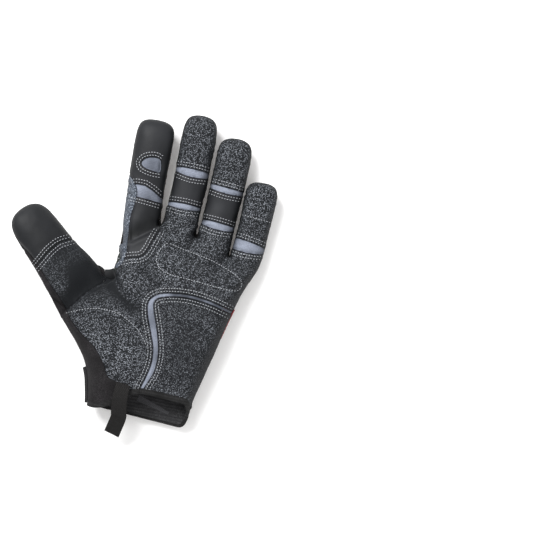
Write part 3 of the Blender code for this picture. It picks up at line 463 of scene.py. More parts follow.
def neighbours(line, closed=False):
    """Each spot of a line between those before and after it. An open line's ends are their own neighbours."""
    count = len(line)
    for i, spot in enumerate(line):
        before = line[i - 1] if i > 0 or closed else spot
        after = line[(i + 1) % count] if i < count - 1 or closed else spot
        yield before, spot, after


def sideways(before, after):
    """The level direction to the left of the way from one spot to another."""
    along = (after - before).normalized()
    return Vector((-along.y, along.x, 0))


def beside(line, distance, closed=False):
    """A line that runs at a distance to the left of another."""
    return [spot + sideways(before, after) * distance for before, spot, after in neighbours(line, closed)]


def smooth_line(spots, closed=False, steps=3):
    """Points of a smooth curve through the spots, with steps new points in each span."""
    handles = [(after - before) / 6 for before, _, after in neighbours(spots, closed)]
    line = []
    for i in range(len(spots) if closed else len(spots) - 1):
        j = (i + 1) % len(spots)
        points = interpolate_bezier(spots[i], spots[i] + handles[i], spots[j] - handles[j], spots[j], steps + 1)
        line += points[:-1]
    return line if closed else line + spots[-1:]


# Where the panels are sewn. Each finger's seams run across it, at places along the finger at its left edge, middle
# and right edge, and each names the panel below it, between it and the seam before. The other seams are lines over
# the hand, in shares of the knuckle width and the palm length, and over the thumb, in shares of its length and width.
FINGER_SEAM_REACH = 0.53
FingerSeam = namedtuple("FingerSeam", "left middle right below")


def finger_seams(**rows):
    return {name: [FingerSeam(*row) for row in seams] for name, seams in rows.items()}


PALM_SEAMS = finger_seams(
    index=((0.245, 0.235, 0.220, "index_base"), (0.330, 0.355, 0.245, "index_lower_inset")),
    middle=(
        (0.205, 0.190, 0.208, ""), (0.232, 0.240, 0.230, "middle_lower_inset"),
        (0.500, 0.468, 0.485, "middle_pad"), (0.535, 0.538, 0.530, "middle_upper_inset"),
    ),
    ring=(
        (0.180, 0.148, 0.160, ""), (0.222, 0.214, 0.198, "ring_lower_inset"),
        (0.512, 0.484, 0.490, "ring_pad"), (0.552, 0.538, 0.528, "ring_upper_inset"),
    ),
    pinky=((0.155, 0.135, 0.158, ""), (0.295, 0.268, 0.226, "pinky_inset")),
)
BACK_SEAMS = finger_seams(
    index=((0.270, 0.280, 0.270, ""), (0.450, 0.460, 0.450, "index_band"), (0.690, 0.710, 0.690, "index_back")),
    middle=((0.300, 0.310, 0.300, ""), (0.430, 0.445, 0.430, "middle_band"), (0.755, 0.775, 0.755, "middle_back")),
    ring=((0.330, 0.340, 0.330, ""), (0.465, 0.480, 0.465, "ring_band"), (0.820, 0.840, 0.820, "ring_back")),
    pinky=((0.310, 0.320, 0.310, ""), (0.465, 0.480, 0.465, "pinky_band"), (0.820, 0.840, 0.820, "pinky_back")),
)
GUSSET_LINE_THUMB = (
    (0.846, -0.566), (0.782, -0.459), (0.681, -0.397), (0.572, -0.379), (0.373, -0.402), (0.256, -0.404),
    (0.128, -0.453),
)
GUSSET_LINE_HAND = (
    (-0.609, -0.445), (-0.532, -0.503), (-0.468, -0.545), (-0.410, -0.598), (-0.363, -0.662), (-0.326, -0.730),
    (-0.245, -0.756), (-0.165, -0.785), (-0.110, -0.870),
)
INDEX_SIDE_LINE = (
    (-0.530, 0.640), (-0.462, 0.616), (-0.414, 0.572), (-0.383, 0.515), (-0.384, 0.440), (-0.394, 0.357),
    (-0.390, 0.278), (-0.378, 0.164), (-0.370, 0.100), (-0.388, 0.020), (-0.422, -0.018), (-0.462, -0.018),
    (-0.520, 0.040),
)
THUMB_FOLD_LINE = (
    (0.350, 0.900), (0.230, 0.700), (0.160, 0.560), (0.165, 0.107), (0.141, -0.369), (0.166, -0.803),
)
INDEX_BASE_LINE = (
    (-0.425, 0.036), (-0.340, 0.074), (-0.275, 0.092), (-0.239, 0.130), (-0.211, 0.211), (-0.187, 0.290),
    (-0.182, 0.380),
)
PIPING_OUTLINE = (
    (-0.105, -0.850), (-0.093, -0.773), (-0.067, -0.680), (-0.050, -0.585), (-0.059, -0.486), (-0.095, -0.388),
    (-0.134, -0.292), (-0.152, -0.225), (-0.146, -0.172), (-0.084, -0.122), (0.053, -0.096), (0.169, -0.096),
    (0.307, -0.117), (0.500, -0.170), (0.500, -0.190), (0.307, -0.134), (0.169, -0.114), (0.053, -0.114),
    (-0.075, -0.142), (-0.117, -0.184), (-0.106, -0.244), (-0.072, -0.332), (-0.039, -0.430), (-0.018, -0.530),
    (-0.023, -0.636), (-0.045, -0.702), (-0.074, -0.778), (-0.085, -0.850),
)
INDEX_INSET_OUTLINE = (
    (-0.268, 0.752), (-0.310, 0.764), (-0.368, 0.747), (-0.394, 0.711), (-0.369, 0.685), (-0.310, 0.673),
    (-0.258, 0.675),
)
PALM_PAD_OUTLINE = (
    (-0.097, 0.219), (-0.010, 0.202), (0.101, 0.184), (0.212, 0.163), (0.297, 0.136), (0.384, 0.102),
    (0.432, 0.067), (0.439, 0.034), (0.423, 0.003), (0.381, -0.007), (0.291, -0.005), (0.192, 0.002),
    (0.083, 0.010), (-0.024, 0.015), (-0.098, 0.031), (-0.146, 0.066), (-0.161, 0.105), (-0.155, 0.151),
    (-0.132, 0.195),
)
THENAR_LINE = (
    (-0.692, -0.376), (-0.593, -0.331), (-0.501, -0.303), (-0.422, -0.297), (-0.332, -0.304), (-0.253, -0.341),
    (-0.191, -0.381), (-0.146, -0.425), (-0.109, -0.478),
)
BACK_STRIP_INNER = (
    (-0.530, 0.070), (-0.440, -0.020), (-0.400, -0.120), (-0.376, -0.280), (-0.360, -0.457), (-0.325, -0.640),
    (-0.300, -0.800), (-0.295, -1.100),
)
BACK_STRIP_OUTER = (
    (-0.540, 0.060), (-0.500, -0.050), (-0.500, -0.250), (-0.470, -0.450), (-0.410, -0.640), (-0.385, -0.800),
    (-0.380, -1.100),
)
KNUCKLE_PANEL_TOP = (
    (-0.520, 0.040), (-0.433, 0.086), (-0.338, 0.177), (-0.184, 0.224), (-0.030, 0.224), (0.121, 0.193),
    (0.263, 0.138), (0.410, 0.074), (0.560, 0.030),
)
KNUCKLE_PANEL_BOTTOM = (
    (-0.440, -0.290), (-0.350, -0.255), (-0.263, -0.224), (-0.072, -0.172), (0.125, -0.152), (0.263, -0.181),
    (0.480, -0.280),
)
RED_PANEL_LINE = ((0.180, 0.220), (0.240, 0.120), (0.330, 0.020), (0.350, -0.090), (0.320, -0.260))
THUMB_CAP_LINE = ((0.545, -0.70), (0.560, -0.36), (0.594, 0.00), (0.600, 0.25), (0.576, 0.47), (0.555, 0.75))
THUMB_WRAP_LINE = ((0.700, -0.75), (0.720, -0.36), (0.735, 0.00), (0.720, 0.36), (0.700, 0.75))
THUMB_PATCH_LINE = ((0.290, 0.80), (0.330, 0.30), (0.450, 0.08), (0.580, 0.10), (0.660, 0.30), (0.690, 0.80))


def finger_seam_line(finger, seam):
    """A seam across one finger, from the gap on its left to the gap on its right."""
    reach = Vector((finger.width * FINGER_SEAM_REACH, 0, 0))
    ways = ((seam.left, -1), (seam.middle, 0), (seam.right, 1))
    return smooth_line([finger_centre(finger, along) + reach * side for along, side in ways])


def finger_lines(finger, seams):
    return [finger_seam_line(finger, seam) for seam in seams[finger.name]]


def thumb_line(shares):
    return smooth_line(thumb_spots(shares))


def hand_line(shares, closed=False):
    return smooth_line(hand_spots(shares), closed)


def gusset_line():
    """The seam between the leather and the knit up the thumb's outer side."""
    return smooth_line(thumb_spots(GUSSET_LINE_THUMB) + hand_spots(GUSSET_LINE_HAND))


# How the leather and the cloth lie over the hand's form. Every seam is pulled in by its thread, the grey flex
# insets lie lower than the leather round them, and folds run where the empty glove has been bent.
SEAM_PINCH = 0.45 * MM
SEAM_REACH = 1.1 * MM
PUFF = 0.20 * MM
PUFF_PLACE = 2.6 * MM
PUFF_REACH = 1.3 * MM
INSET_DEPTH = 0.55 * MM
INSET_REACH = 2.0 * MM
PAD_SWELL = 0.8 * MM
PAD_REACH = 5 * MM
QUILTING = 0.7
UNEVEN = 0.45 * MM
UNEVEN_WAVES = ((38, 1.0), (95, 0.5), (240, 0.22))
FLOOR_GAP = 0.05 * MM

# One fold: its line in shares of the knuckle width and the palm length, its depth, its width to the left and to the
# right of the line, and how far it swells beside the valley, as a share of the depth. Lengths are in mm.
Fold = namedtuple("Fold", "line depth left right swell")
SWELL_PLACE = 1.8
SWELL_REACH = 0.8
PALM_FOLDS = [Fold(*row) for row in (
    (((-0.440, -0.030), (-0.490, -0.125), (-0.584, -0.215), (-0.650, -0.300), (-0.700, -0.370)),
     6.5, 2.2, 12.0, 0.12),
    (((-0.435, -0.055), (-0.380, -0.136), (-0.305, -0.195), (-0.243, -0.225)), 3.2, 2.6, 6.5, 0.35),
    (((-0.236, -0.021), (-0.185, -0.055), (-0.127, -0.091)), 1.6, 5.0, 2.5, 0.30),
    (((-0.400, 0.165), (-0.330, 0.215), (-0.265, 0.262), (-0.215, 0.305)), 3.0, 9.0, 2.2, 0.15),
    (((-0.165, 0.300), (-0.150, 0.250), (-0.150, 0.190), (-0.190, 0.100)), 1.2, 3.0, 5.0, 0.30),
    (((0.062, 0.310), (0.050, 0.230), (0.000, 0.190), (-0.080, 0.200)), 1.6, 3.0, 3.5, 0.30),
    (((0.305, 0.210), (0.270, 0.150), (0.200, 0.125)), 1.4, 3.0, 3.5, 0.30),
    (((-0.330, -0.400), (-0.290, -0.520), (-0.310, -0.640)), 1.2, 6.0, 7.0, 0.20),
    (((0.170, -0.330), (0.120, -0.500), (0.150, -0.680)), 1.0, 7.0, 7.0, 0.20),
    (((0.020, 0.480), (0.070, 0.440), (0.090, 0.420)), 0.6, 2.0, 2.0, 0.20),
)]


def distance_to_line(spots, line, closed=False, reach=14 * MM, signed=False):
    """How far each spot is from a line, both seen from above. Spots beyond its reach give a large number, and signed
    distances are negative to the line's right."""
    points = np.array([(p.x, p.y) for p in line])
    far = np.full(len(spots), 1.0)
    near = np.all((spots > points.min(0) - reach) & (spots < points.max(0) + reach), axis=1)
    close = spots[near]
    best = np.full(len(close), 1.0)
    side = np.ones(len(close))
    ends = np.roll(points, -1, 0) if closed else points[1:]
    for start, end in zip(points, ends):
        along = end - start
        share = np.clip(((close - start) @ along) / max(along @ along, 1e-12), 0, 1)
        offset = close - start - share[:, None] * along
        apart = np.hypot(*offset.T)
        nearer = apart < best
        best[nearer] = apart[nearer]
        side[nearer] = np.where(along[0] * offset[nearer, 1] - along[1] * offset[nearer, 0] < 0, -1, 1)
    far[near] = best * side if signed else best
    return far


def within(spots, outline):
    """Which spots lie within a closed outline, both seen from above."""
    points = np.array([(p.x, p.y) for p in outline])
    found = np.zeros(len(spots), bool)
    for (x0, y0), (x1, y1) in zip(points, np.roll(points, -1, 0)):
        if y0 == y1:
            continue
        straddles = (spots[:, 1] < y0) != (spots[:, 1] < y1)
        found ^= straddles & (spots[:, 0] < x0 + (spots[:, 1] - y0) * (x1 - x0) / (y1 - y0))
    return found


def bell(distance, reach):
    """A smooth hill that is 1 in the middle and falls off over its reach."""
    return np.exp(-((distance / reach) ** 2))


def pinch(distance):
    """The hollow along a seam and the swelling beside it."""
    return PUFF * bell(distance - PUFF_PLACE, PUFF_REACH) - SEAM_PINCH * bell(distance, SEAM_REACH)


def beside_fold(spots, fold, reach):
    """How far each spot is from a fold in mm, negative to its right, and the fold's width on that side."""
    edge = distance_to_line(spots, hand_line(fold.line), reach=reach, signed=True) / MM
    return edge, np.where(edge > 0, fold.left, fold.right)


def palm_relief(spots):
    """How far the palm side stands out of the smooth form, at places seen from above."""
    relief = np.zeros(len(spots))
    seams = [gusset_line(), hand_line(INDEX_SIDE_LINE), hand_line(INDEX_BASE_LINE), thumb_line(THUMB_CAP_LINE)]
    insets = [hand_line(INDEX_INSET_OUTLINE, True), hand_line(PIPING_OUTLINE, True)]
    for finger in FINGERS:
        lines = finger_lines(finger, PALM_SEAMS)
        seams += lines
        insets += [low + high[::-1] for low, high in zip(lines[0::2], lines[1::2])]
    for line in seams:
        relief += pinch(distance_to_line(spots, line))
    for outline in insets:
        edge = distance_to_line(spots, outline, True)
        relief -= np.where(within(spots, outline), INSET_DEPTH * bell(edge, INSET_REACH), 0)
    for outline in insets[:2]:
        relief += pinch(distance_to_line(spots, outline, True))
    pad = hand_line(PALM_PAD_OUTLINE, True)
    edge = distance_to_line(spots, pad, True)
    relief += np.where(within(spots, pad), PAD_SWELL * (1 - bell(edge, PAD_REACH)), 0)
    relief += QUILTING * (pinch(edge) + pinch(distance_to_line(spots, hand_line(THENAR_LINE))))
    for fold in PALM_FOLDS:
        edge, width = beside_fold(spots, fold, 45 * MM)
        swell = fold.swell * bell(np.abs(edge) - SWELL_PLACE * width, SWELL_REACH * width)
        relief += fold.depth * MM * (swell - bell(edge, width))
    return relief


def back_relief(spots):
    """How far the back of the hand stands out of the smooth form, at places seen from above."""
    lines = (BACK_STRIP_INNER, BACK_STRIP_OUTER, KNUCKLE_PANEL_TOP, KNUCKLE_PANEL_BOTTOM, RED_PANEL_LINE)
    seams = [hand_line(line) for line in lines] + [thumb_line(THUMB_WRAP_LINE), thumb_line(THUMB_PATCH_LINE)]
    for finger in FINGERS:
        seams += finger_lines(finger, BACK_SEAMS)
    return sum(pinch(distance_to_line(spots, line)) for line in seams)


def places_and_normals(mesh):
    """The mesh's points and the directions that they face, as arrays of three columns."""
    found = []
    for items, name in ((mesh.vertices, "co"), (mesh.vertex_normals, "vector")):
        values = np.empty(len(items) * 3)
        items.foreach_get(name, values)
        found.append(values.reshape(-1, 3))
    return found


def glove_skin():
    """The fine skin of the glove with its relief, still in one piece."""
    cage = bpy.data.objects.new("glove_cage", mesh_from("glove_cage", glove_cage))
    for _ in (PALM_ZONE, BACK_ZONE):
        cage.data.materials.append(None)
    scene.collection.objects.link(cage)
    smooth = cage.modifiers.new("round", "SUBSURF")
    smooth.levels = smooth.render_levels = SKIN_LEVELS
    mesh = evaluated(cage)
    bpy.data.objects.remove(cage)
    places, normals = places_and_normals(mesh)
    on_palm = np.zeros(len(places), bool)
    for polygon in mesh.polygons:
        if polygon.material_index == PALM_ZONE:
            on_palm[list(polygon.vertices)] = True
    relief = np.where(on_palm, palm_relief(places[:, :2]), back_relief(places[:, :2]))
    for scale, share in UNEVEN_WAVES:
        relief += UNEVEN * share * np.array([noise.noise(Vector(place) * scale) for place in places])
    places += normals * relief[:, None]
    # What rests on the floor is pressed flat.
    places[:, 2] = np.maximum(places[:, 2], FLOOR_GAP)
    mesh.vertices.foreach_set("co", places.ravel())
    mesh.update()
    return mesh


skin = glove_skin()


# Cutting the leather and the cloth: the skin gets its thickness, is parted at the side seams, and each panel is cut
# out along its seam with a hair's breadth between it and the next one.
WALL = 1.4 * MM
SEAM_GAP = 0.35 * MM
WELD = 0.01 * MM
FINGER_SPAN = (0.05, 0.9)
PALM_SPOT = (0.0, 0.25)


def skin_wall(bm, keep, outer, inner, trim=None):
    """The part of the skin whose faces keep allows, as a closed wall between two depths under the skin. trim may move
    its edges first. Gives the mark of the points at the cuff's mouth."""
    bm.from_mesh(skin)
    outward = bm.verts.layers.float_vector.new("outward")
    at_cuff = bm.verts.layers.int.new("at_cuff")
    for vert in bm.verts:
        vert[outward] = vert.normal
        vert[at_cuff] = int(vert.is_boundary)
    bmesh.ops.delete(bm, geom=[face for face in bm.faces if not keep(face)], context="FACES")
    if trim:
        trim(bm, at_cuff)
    for vert in bm.verts:
        vert.co -= Vector(vert[outward]) * outer
    grown = bmesh.ops.extrude_face_region(bm, geom=bm.faces[:], use_keep_orig=True)
    for item in grown["geom"]:
        if isinstance(item, bmesh.types.BMVert):
            item.co -= Vector(item[outward]) * (inner - outer)
    bmesh.ops.recalc_face_normals(bm, faces=bm.faces)
    return at_cuff


def part_sides(bm, at_cuff):
    """Draws the edges at the side seams back by half a seam gap, and leaves those at the cuff."""
    moves = {}
    for vert in bm.verts:
        if not vert.is_boundary:
            continue
        rim = [edge for edge in vert.link_edges if edge.is_boundary]
        if vert[at_cuff] and all(edge.other_vert(vert)[at_cuff] for edge in rim):
            continue
        along = (rim[0].other_vert(vert).co - rim[1].other_vert(vert).co).normalized()
        inward = sum((face.calc_center_median() - vert.co for face in vert.link_faces), Vector())
        inward -= along * inward.dot(along)
        moves[vert] = inward.normalized() * SEAM_GAP / 2
    for vert, move in moves.items():
        vert.co += move


def half_wall(zone):
    """One half of the glove as a closed wall, parted from the other half at the side seams."""
    return mesh_from("half_wall", lambda bm: skin_wall(
        bm, lambda face: face.material_index == zone, 0, WALL, part_sides
    ))


def ribbon(line, closed):
    """An upright strip as thick as a seam gap, along a line seen from above."""
    def build(bm):
        rails = ([], [])
        for spots in zip(beside(line, SEAM_GAP / 2, closed), beside(line, -SEAM_GAP / 2, closed)):
            for rail, spot in zip(rails, spots):
                rail.append([bm.verts.new(spot + Vector((0, 0, z))) for z in (-PALM_HEIGHT, 2 * PALM_HEIGHT)])
        left, right = rails
        for i in range(len(line) if closed else len(line) - 1):
            j = (i + 1) % len(line)
            bm.faces.new((left[i][0], left[j][0], left[j][1], left[i][1]))
            bm.faces.new((right[j][0], right[i][0], right[i][1], right[j][1]))
            bm.faces.new((left[i][1], left[j][1], right[j][1], right[i][1]))
            bm.faces.new((left[j][0], left[i][0], right[i][0], right[j][0]))
        if not closed:
            bm.faces.new((left[0][0], left[0][1], right[0][1], right[0][0]))
            bm.faces.new((left[-1][1], left[-1][0], right[-1][0], right[-1][1]))
        bmesh.ops.recalc_face_normals(bm, faces=bm.faces)

    return mesh_from("seam_cutter", build)


def boolean(mesh, tool, operation):
    """A mesh less another, or the part that they share."""
    obj = bpy.data.objects.new("cut", mesh)
    cutter = bpy.data.objects.new("cutter", tool)
    for item in (obj, cutter):
        scene.collection.objects.link(item)
    step = obj.modifiers.new("cut", "BOOLEAN")
    step.operation = operation
    step.solver = "MANIFOLD"
    step.object = cutter
    result = evaluated(obj)
    for item in (obj, cutter):
        bpy.data.objects.remove(item)
    return result


def bodies_of(mesh):
    """The separate bodies of a mesh, each as a mesh of its own."""
    bm = bmesh.new()
    bm.from_mesh(mesh)
    bmesh.ops.remove_doubles(bm, verts=bm.verts, dist=WELD)
    bm.verts.index_update()
    waiting = set(bm.verts)
    found = []
    while waiting:
        body = {waiting.pop()}
        front = list(body)
        while front:
            vert = front.pop()
            for edge in vert.link_edges:
                other = edge.other_vert(vert)
                if other not in body:
                    body.add(other)
                    front.append(other)
        waiting -= body
        keep = {vert.index for vert in body}
        alone = bm.copy()
        bmesh.ops.delete(alone, geom=[v for v in alone.verts if v.index not in keep], context="VERTS")
        part = bpy.data.meshes.new(mesh.name)
        alone.to_mesh(part)
        alone.free()
        found.append(part)
    bm.free()
    return found


def tree_of(mesh):
    return BVHTree.FromPolygons([v.co for v in mesh.vertices], [tuple(p.vertices) for p in mesh.polygons])


def covers(mesh, spot):
    """Whether an upright line through the spot passes through the mesh."""
    return tree_of(mesh).ray_cast(Vector((spot.x, spot.y, 4 * PALM_HEIGHT)), Vector((0, 0, -1)))[0] is not None


def cut(pieces, name, line, closed=False, **markers):
    """Cuts a panel along a line. markers gives a spot inside each new panel, by name."""
    bodies = bodies_of(boolean(pieces.pop(name), ribbon(line, closed), "DIFFERENCE"))
    for new_name, spot in markers.items():
        body = next(b for b in bodies if covers(b, spot))
        bodies.remove(body)
        pieces[new_name] = body


def cut_finger(pieces, finger, seams, root_piece, last_name):
    """Cuts a finger across at each seam, from its root to its tip."""
    current = root_piece
    below, top = FINGER_SPAN
    for number, seam in enumerate(seams):
        is_last = number + 1 == len(seams)
        following = top if is_last else seams[number + 1].middle
        rest = last_name if is_last else finger.name + "_rest"
        if seam.below:
            root_name, root_spot = seam.below, finger_centre(finger, (below + seam.middle) / 2)
        else:
            root_name, root_spot = current, hand_spots([PALM_SPOT])[0]
        markers = {root_name: root_spot, rest: finger_centre(finger, (seam.middle + following) / 2)}
        cut(pieces, current, finger_seam_line(finger, seam), **markers)
        current = rest
        below = seam.middle


def palm_panels():
    index = FINGERS[0]
    palm, gusset, piping, heel, inset = hand_spots(
        [PALM_SPOT, (-0.40, -0.72), (-0.035, -0.60), (0.15, -0.45), (-0.33, 0.72)]
    )
    thumb, tip = thumb_spots([(0.45, 0.1), (0.8, 0)])
    side = finger_centre(index, 0.15) - Vector((index.width * 0.4, 0, 0))
    pieces = {"palm_half": half_wall(PALM_ZONE)}
    cut(pieces, "palm_half", gusset_line(), palm_panel=palm, thumb_gusset=gusset)
    cut(pieces, "palm_panel", thumb_line(THUMB_FOLD_LINE), palm_panel=palm, thumb_palm=thumb)
    cut(pieces, "thumb_palm", thumb_line(THUMB_CAP_LINE), thumb_palm=thumb, thumb_tip=tip)
    cut(pieces, "palm_panel", hand_line(INDEX_SIDE_LINE), palm_panel=palm, index_side=side)
    cut(pieces, "palm_panel", hand_line(PIPING_OUTLINE), palm_panel=palm, palm_piping=piping, heel_panel=heel)
    cut(pieces, "palm_panel", hand_line(INDEX_BASE_LINE), palm_panel=palm, index_base=finger_centre(index, 0.05))
    cut_finger(pieces, index, PALM_SEAMS["index"], "index_base", "index_tip")
    inset_line = hand_line(INDEX_INSET_OUTLINE, True)
    cut(pieces, "index_tip", inset_line, True, index_tip=finger_centre(index, 0.9), index_upper_inset=inset)
    for finger in FINGERS[1:]:
        cut_finger(pieces, finger, PALM_SEAMS[finger.name], "palm_panel", finger.name + "_tip")
    return pieces


def back_panels():
    back, thumb, strip, fingers, panel, red = hand_spots(
        [(0.0, -0.5), (-0.62, -0.28), (-0.42, -0.30), PALM_SPOT, (-0.05, 0.0), (0.43, -0.05)]
    )
    patch, wrap = thumb_spots([(0.5, 0.35), (0.88, 0)])
    pieces = {"hand_back": half_wall(BACK_ZONE)}
    cut(pieces, "hand_back", hand_line(BACK_STRIP_INNER), hand_back=back, back_strip=strip)
    cut(pieces, "back_strip", hand_line(BACK_STRIP_OUTER), thumb_back=thumb, back_strip=strip)
    cut(pieces, "thumb_back", thumb_line(THUMB_WRAP_LINE), thumb_back=thumb, thumb_wrap=wrap)
    cut(pieces, "thumb_back", thumb_line(THUMB_PATCH_LINE), thumb_back=thumb, thumb_patch=patch)
    cut(pieces, "hand_back", hand_line(KNUCKLE_PANEL_TOP), hand_back=back, finger_backs=fingers)
    cut(pieces, "hand_back", hand_line(KNUCKLE_PANEL_BOTTOM), hand_back=back, knuckle_panel=panel)
    cut(pieces, "knuckle_panel", hand_line(RED_PANEL_LINE), knuckle_panel=panel, red_side_panel=red)
    for finger in FINGERS:
        cut_finger(pieces, finger, BACK_SEAMS[finger.name], "finger_backs", finger.name + "_wrap")
    return pieces


panels = {**palm_panels(), **back_panels()}


# Where the leather and cloth are rubbed or darkened, seen from above: place, radius and amount over or under the
# usual. Lengths are in mm. The spots are partly wear and partly painted shade and painted highlight, as on the shaded
# thumb web and thumb palm. Folds get painted shade on their longer slope and a painted highlight on the shorter one,
# and what faces sideways gets painted shade.
Worn = namedtuple("Worn", "x y radius amount")
USUAL_WEAR_AND_SHADE = 0.80
MOST_WEAR_AND_SHADE = 1.5
FOLD_SHADING = 0.30
FOLD_SHORT, FOLD_LONG, FOLD_EVEN = 0.35, -1.0, -0.6
DEEPEST_FOLD = 3.5
SIDE_SLOPE, TOP_SLOPE = 0.25, 0.90
SHARP_ANGLE = math.radians(55)
WORN_AND_SHADED = [Worn(*row) for row in (
    (-34, -69, 24, 0.45), (-7, 4, 20, 0.20), (12, -45, 26, -0.25), (42, -62, 20, -0.30), (-84, -10, 20, -0.70),
    (-60, -13, 16, -0.68), (21, 61, 7, 0.45), (-6, 67, 7, 0.30), (53, 74, 16, 0.40), (-8, 108, 16, 0.20),
    (20, 100, 16, 0.15), (-40, 104, 14, -0.10), (-118, 8, 20, -0.60), (-32, 34, 12, -0.30), (-33, 52, 9, -0.20),
    (-36, 83, 9, -0.58), (-34, 60, 7, -0.35), (-48, 35, 6, 0.90), (-51, 60, 6, 0.90), (-46, 10, 6, 0.80),
    (-12, -35, 8, -0.40), (-4, -62, 8, -0.40), (1, -12, 4, -0.80), (9, -12, 5, -0.85), (20, -13, 6, -0.90),
    (35, -16, 7, -0.85), (47, -20, 7, -0.60), (-34, -11, 8, 0.35), (-86, -23, 8, 0.45), (-92, -6, 8, 0.40),
    (16, 11, 14, -0.15), (-57, -1, 9, -1.20), (-95, 2, 9, -0.40),
)]


def paint_shade_and_wear(mesh):
    """Stores how rubbed each point is, with painted shade and painted highlight mixed in: the lit and shaded sides of
    folds, shaded spots such as the thumb web, and shaded sideways faces.
    """
    places, normals = places_and_normals(mesh)
    spots = places[:, :2]
    wear_and_shade = np.full(len(spots), USUAL_WEAR_AND_SHADE)
    for shaded_spot in WORN_AND_SHADED:
        apart = np.hypot(spots[:, 0] / MM - shaded_spot.x, spots[:, 1] / MM - shaded_spot.y)
        wear_and_shade += shaded_spot.amount * bell(apart, shaded_spot.radius)
    # Painted fold shading: shade on each fold's longer slope, a painted highlight on its shorter one.
    for fold in PALM_FOLDS:
        edge, width = beside_fold(spots, fold, 30 * MM)
        lit = np.where(width == min(fold.left, fold.right), FOLD_SHORT, FOLD_LONG)
        if fold.left == fold.right:
            lit = FOLD_EVEN
        wear_and_shade += FOLD_SHADING * min(fold.depth, DEEPEST_FOLD) * lit * bell(edge, width)
    # Painted shade on the sides: the stored value falls to nothing where a face turns sideways.
    top_lit_share = np.clip((np.abs(normals[:, 2]) - SIDE_SLOPE) / (TOP_SLOPE - SIDE_SLOPE), 0.0, 1.0)
    mesh.attributes.new("wear_and_shade", "FLOAT", "POINT").data.foreach_set("value", np.clip(wear_and_shade, 0.0, MOST_WEAR_AND_SHADE) * top_lit_share)


def place_piece(name, mesh, node, material, slot):
    """Puts a finished piece in the scene in place of its plain solid."""
    # Leather and cloth get the stored map of wear, painted shade and painted highlight.
    if "leather" in name or "cloth" in name:
        paint_shade_and_wear(mesh)
    mesh.name = name
    mesh.materials.clear()
    mesh.materials.append(material)
    mesh.polygons.foreach_set("material_index", [0] * len(mesh.polygons))
    mesh.shade_smooth()
    mesh.set_sharp_from_angle(angle=SHARP_ANGLE)
    obj = bpy.data.objects.new(name, mesh)
    scene.collection.objects.link(obj)
    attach(obj, "root")
    if node:
        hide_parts(node)
    return obj


def place_panels(nodes, suffix, material, slot):
    """Puts sewn panels in the scene, each in place of the plain solid of its name."""
    for node in nodes.split():
        place_piece(node + suffix, panels[node], node, material, slot)


# The grained leather of the palm, the heel and the finger ends: a black synthetic with a coarse pebble, whose tops
# are rubbed paler, with painted shade and painted highlight mixed into that paleness. It is cut from sheet and sewn
# edge to edge.
def grained_leather(dark, pale, scale, lift=0.0):
    def dress(place):
        tops = place.cells(scale).between(0.62, 0.12)
        tone = place.cells(scale, 1)
        picked = tone.node("SeparateColor", None, {"Color": tone}).between(0.48, 0.85)
        patchy = place.clouds(26.0, 3.0).between(0.15, 0.75) * 0.5 + 0.6
        # The paler tops follow the stored map, so they carry painted shade and painted highlight as well as wear.
        rubbed_and_shaded = picked * tops * patchy * (place.wear_and_shade() + lift)
        height = tops * 0.8 + place.clouds(scale * 2.2, 1.0) * 0.3
        return {
            "Base Color": rubbed_and_shaded.mix(dark, pale),
            "Roughness": 0.66 - rubbed_and_shaded * 0.20,
            "Normal": height.bump(0.8, 0.40 * MM),
        }

    return dress


palm_leather = finish(
    "palm_leather", grained_leather((0.0065, 0.0075, 0.009), (0.450, 0.480, 0.535), 1650.0), specular=0.14
)
place_panels("palm_panel heel_panel thumb_palm middle_tip ring_tip pinky_tip", "_leather", palm_leather,
             "black_leather")


# The smooth leather of the thumb's tip, the index finger and the pads between the flex insets: the same black
# sheet without its pebble, a little shinier, with fine creases.
def smooth_leather(dark, pale):
    def dress(place):
        cloud = place.clouds(45.0, 5.0)
        height = place.cells(1500.0).between(0.0, 0.7) * 0.3 + place.clouds(320.0, 3.0, 1.2) * 0.7
        return {
            # The colour follows the stored map of wear, painted shade and painted highlight, so fold valleys and
            # sideways faces come out darker.
            "Base Color": (cloud.between(0.3, 0.8) * 0.4 + place.wear_and_shade() * 0.6).mix(dark, pale),
            "Roughness": cloud * 0.16 + 0.46,
            "Normal": height.bump(0.35, 0.25 * MM),
        }

    return dress


tip_leather = finish("tip_leather", smooth_leather((0.003, 0.0035, 0.004), (0.021, 0.022, 0.025)), specular=0.15)
place_panels("thumb_tip index_tip index_base middle_pad ring_pad", "_leather", tip_leather, "smooth_leather")


# The grey flex cloth between the pads and in the channel of the palm: a plain stretch cloth with a fine rib.
def flex_cloth(place):
    rib = (place.axes()[1] * 5200.0).sine() * 0.5 + 0.5
    cloud = place.clouds(160.0, 3.0)
    loops = place.clouds(1150.0, 1.0)
    # The tone is multiplied by the stored map of wear, painted shade and painted highlight.
    shade = (cloud.between(0.2, 0.8) * 0.4 + loops.between(0.3, 0.7) * 0.3 + 0.4) * place.wear_and_shade()
    return {
        "Base Color": shade.mix((0.040, 0.045, 0.058), (0.255, 0.280, 0.345)),
        "Normal": (rib + cloud + loops).bump(0.5, 0.2 * MM),
    }


grey_cloth = finish("grey_flex_cloth", flex_cloth, specular=0.25, roughness=0.75)
place_panels(
    "index_upper_inset index_lower_inset middle_upper_inset middle_lower_inset ring_upper_inset ring_lower_inset "
    "pinky_inset palm_piping", "_cloth", grey_cloth, "grey_panel"
)


# The grey grained leather of the strip beside the index finger and of the patch inside the thumb.
grey_leather = finish(
    "grey_leather", grained_leather((0.036, 0.043, 0.056), (0.38, 0.43, 0.51), 1600.0, 0.45), specular=0.22
)
place_panels("index_side thumb_patch", "_leather", grey_leather, "grey_texture")


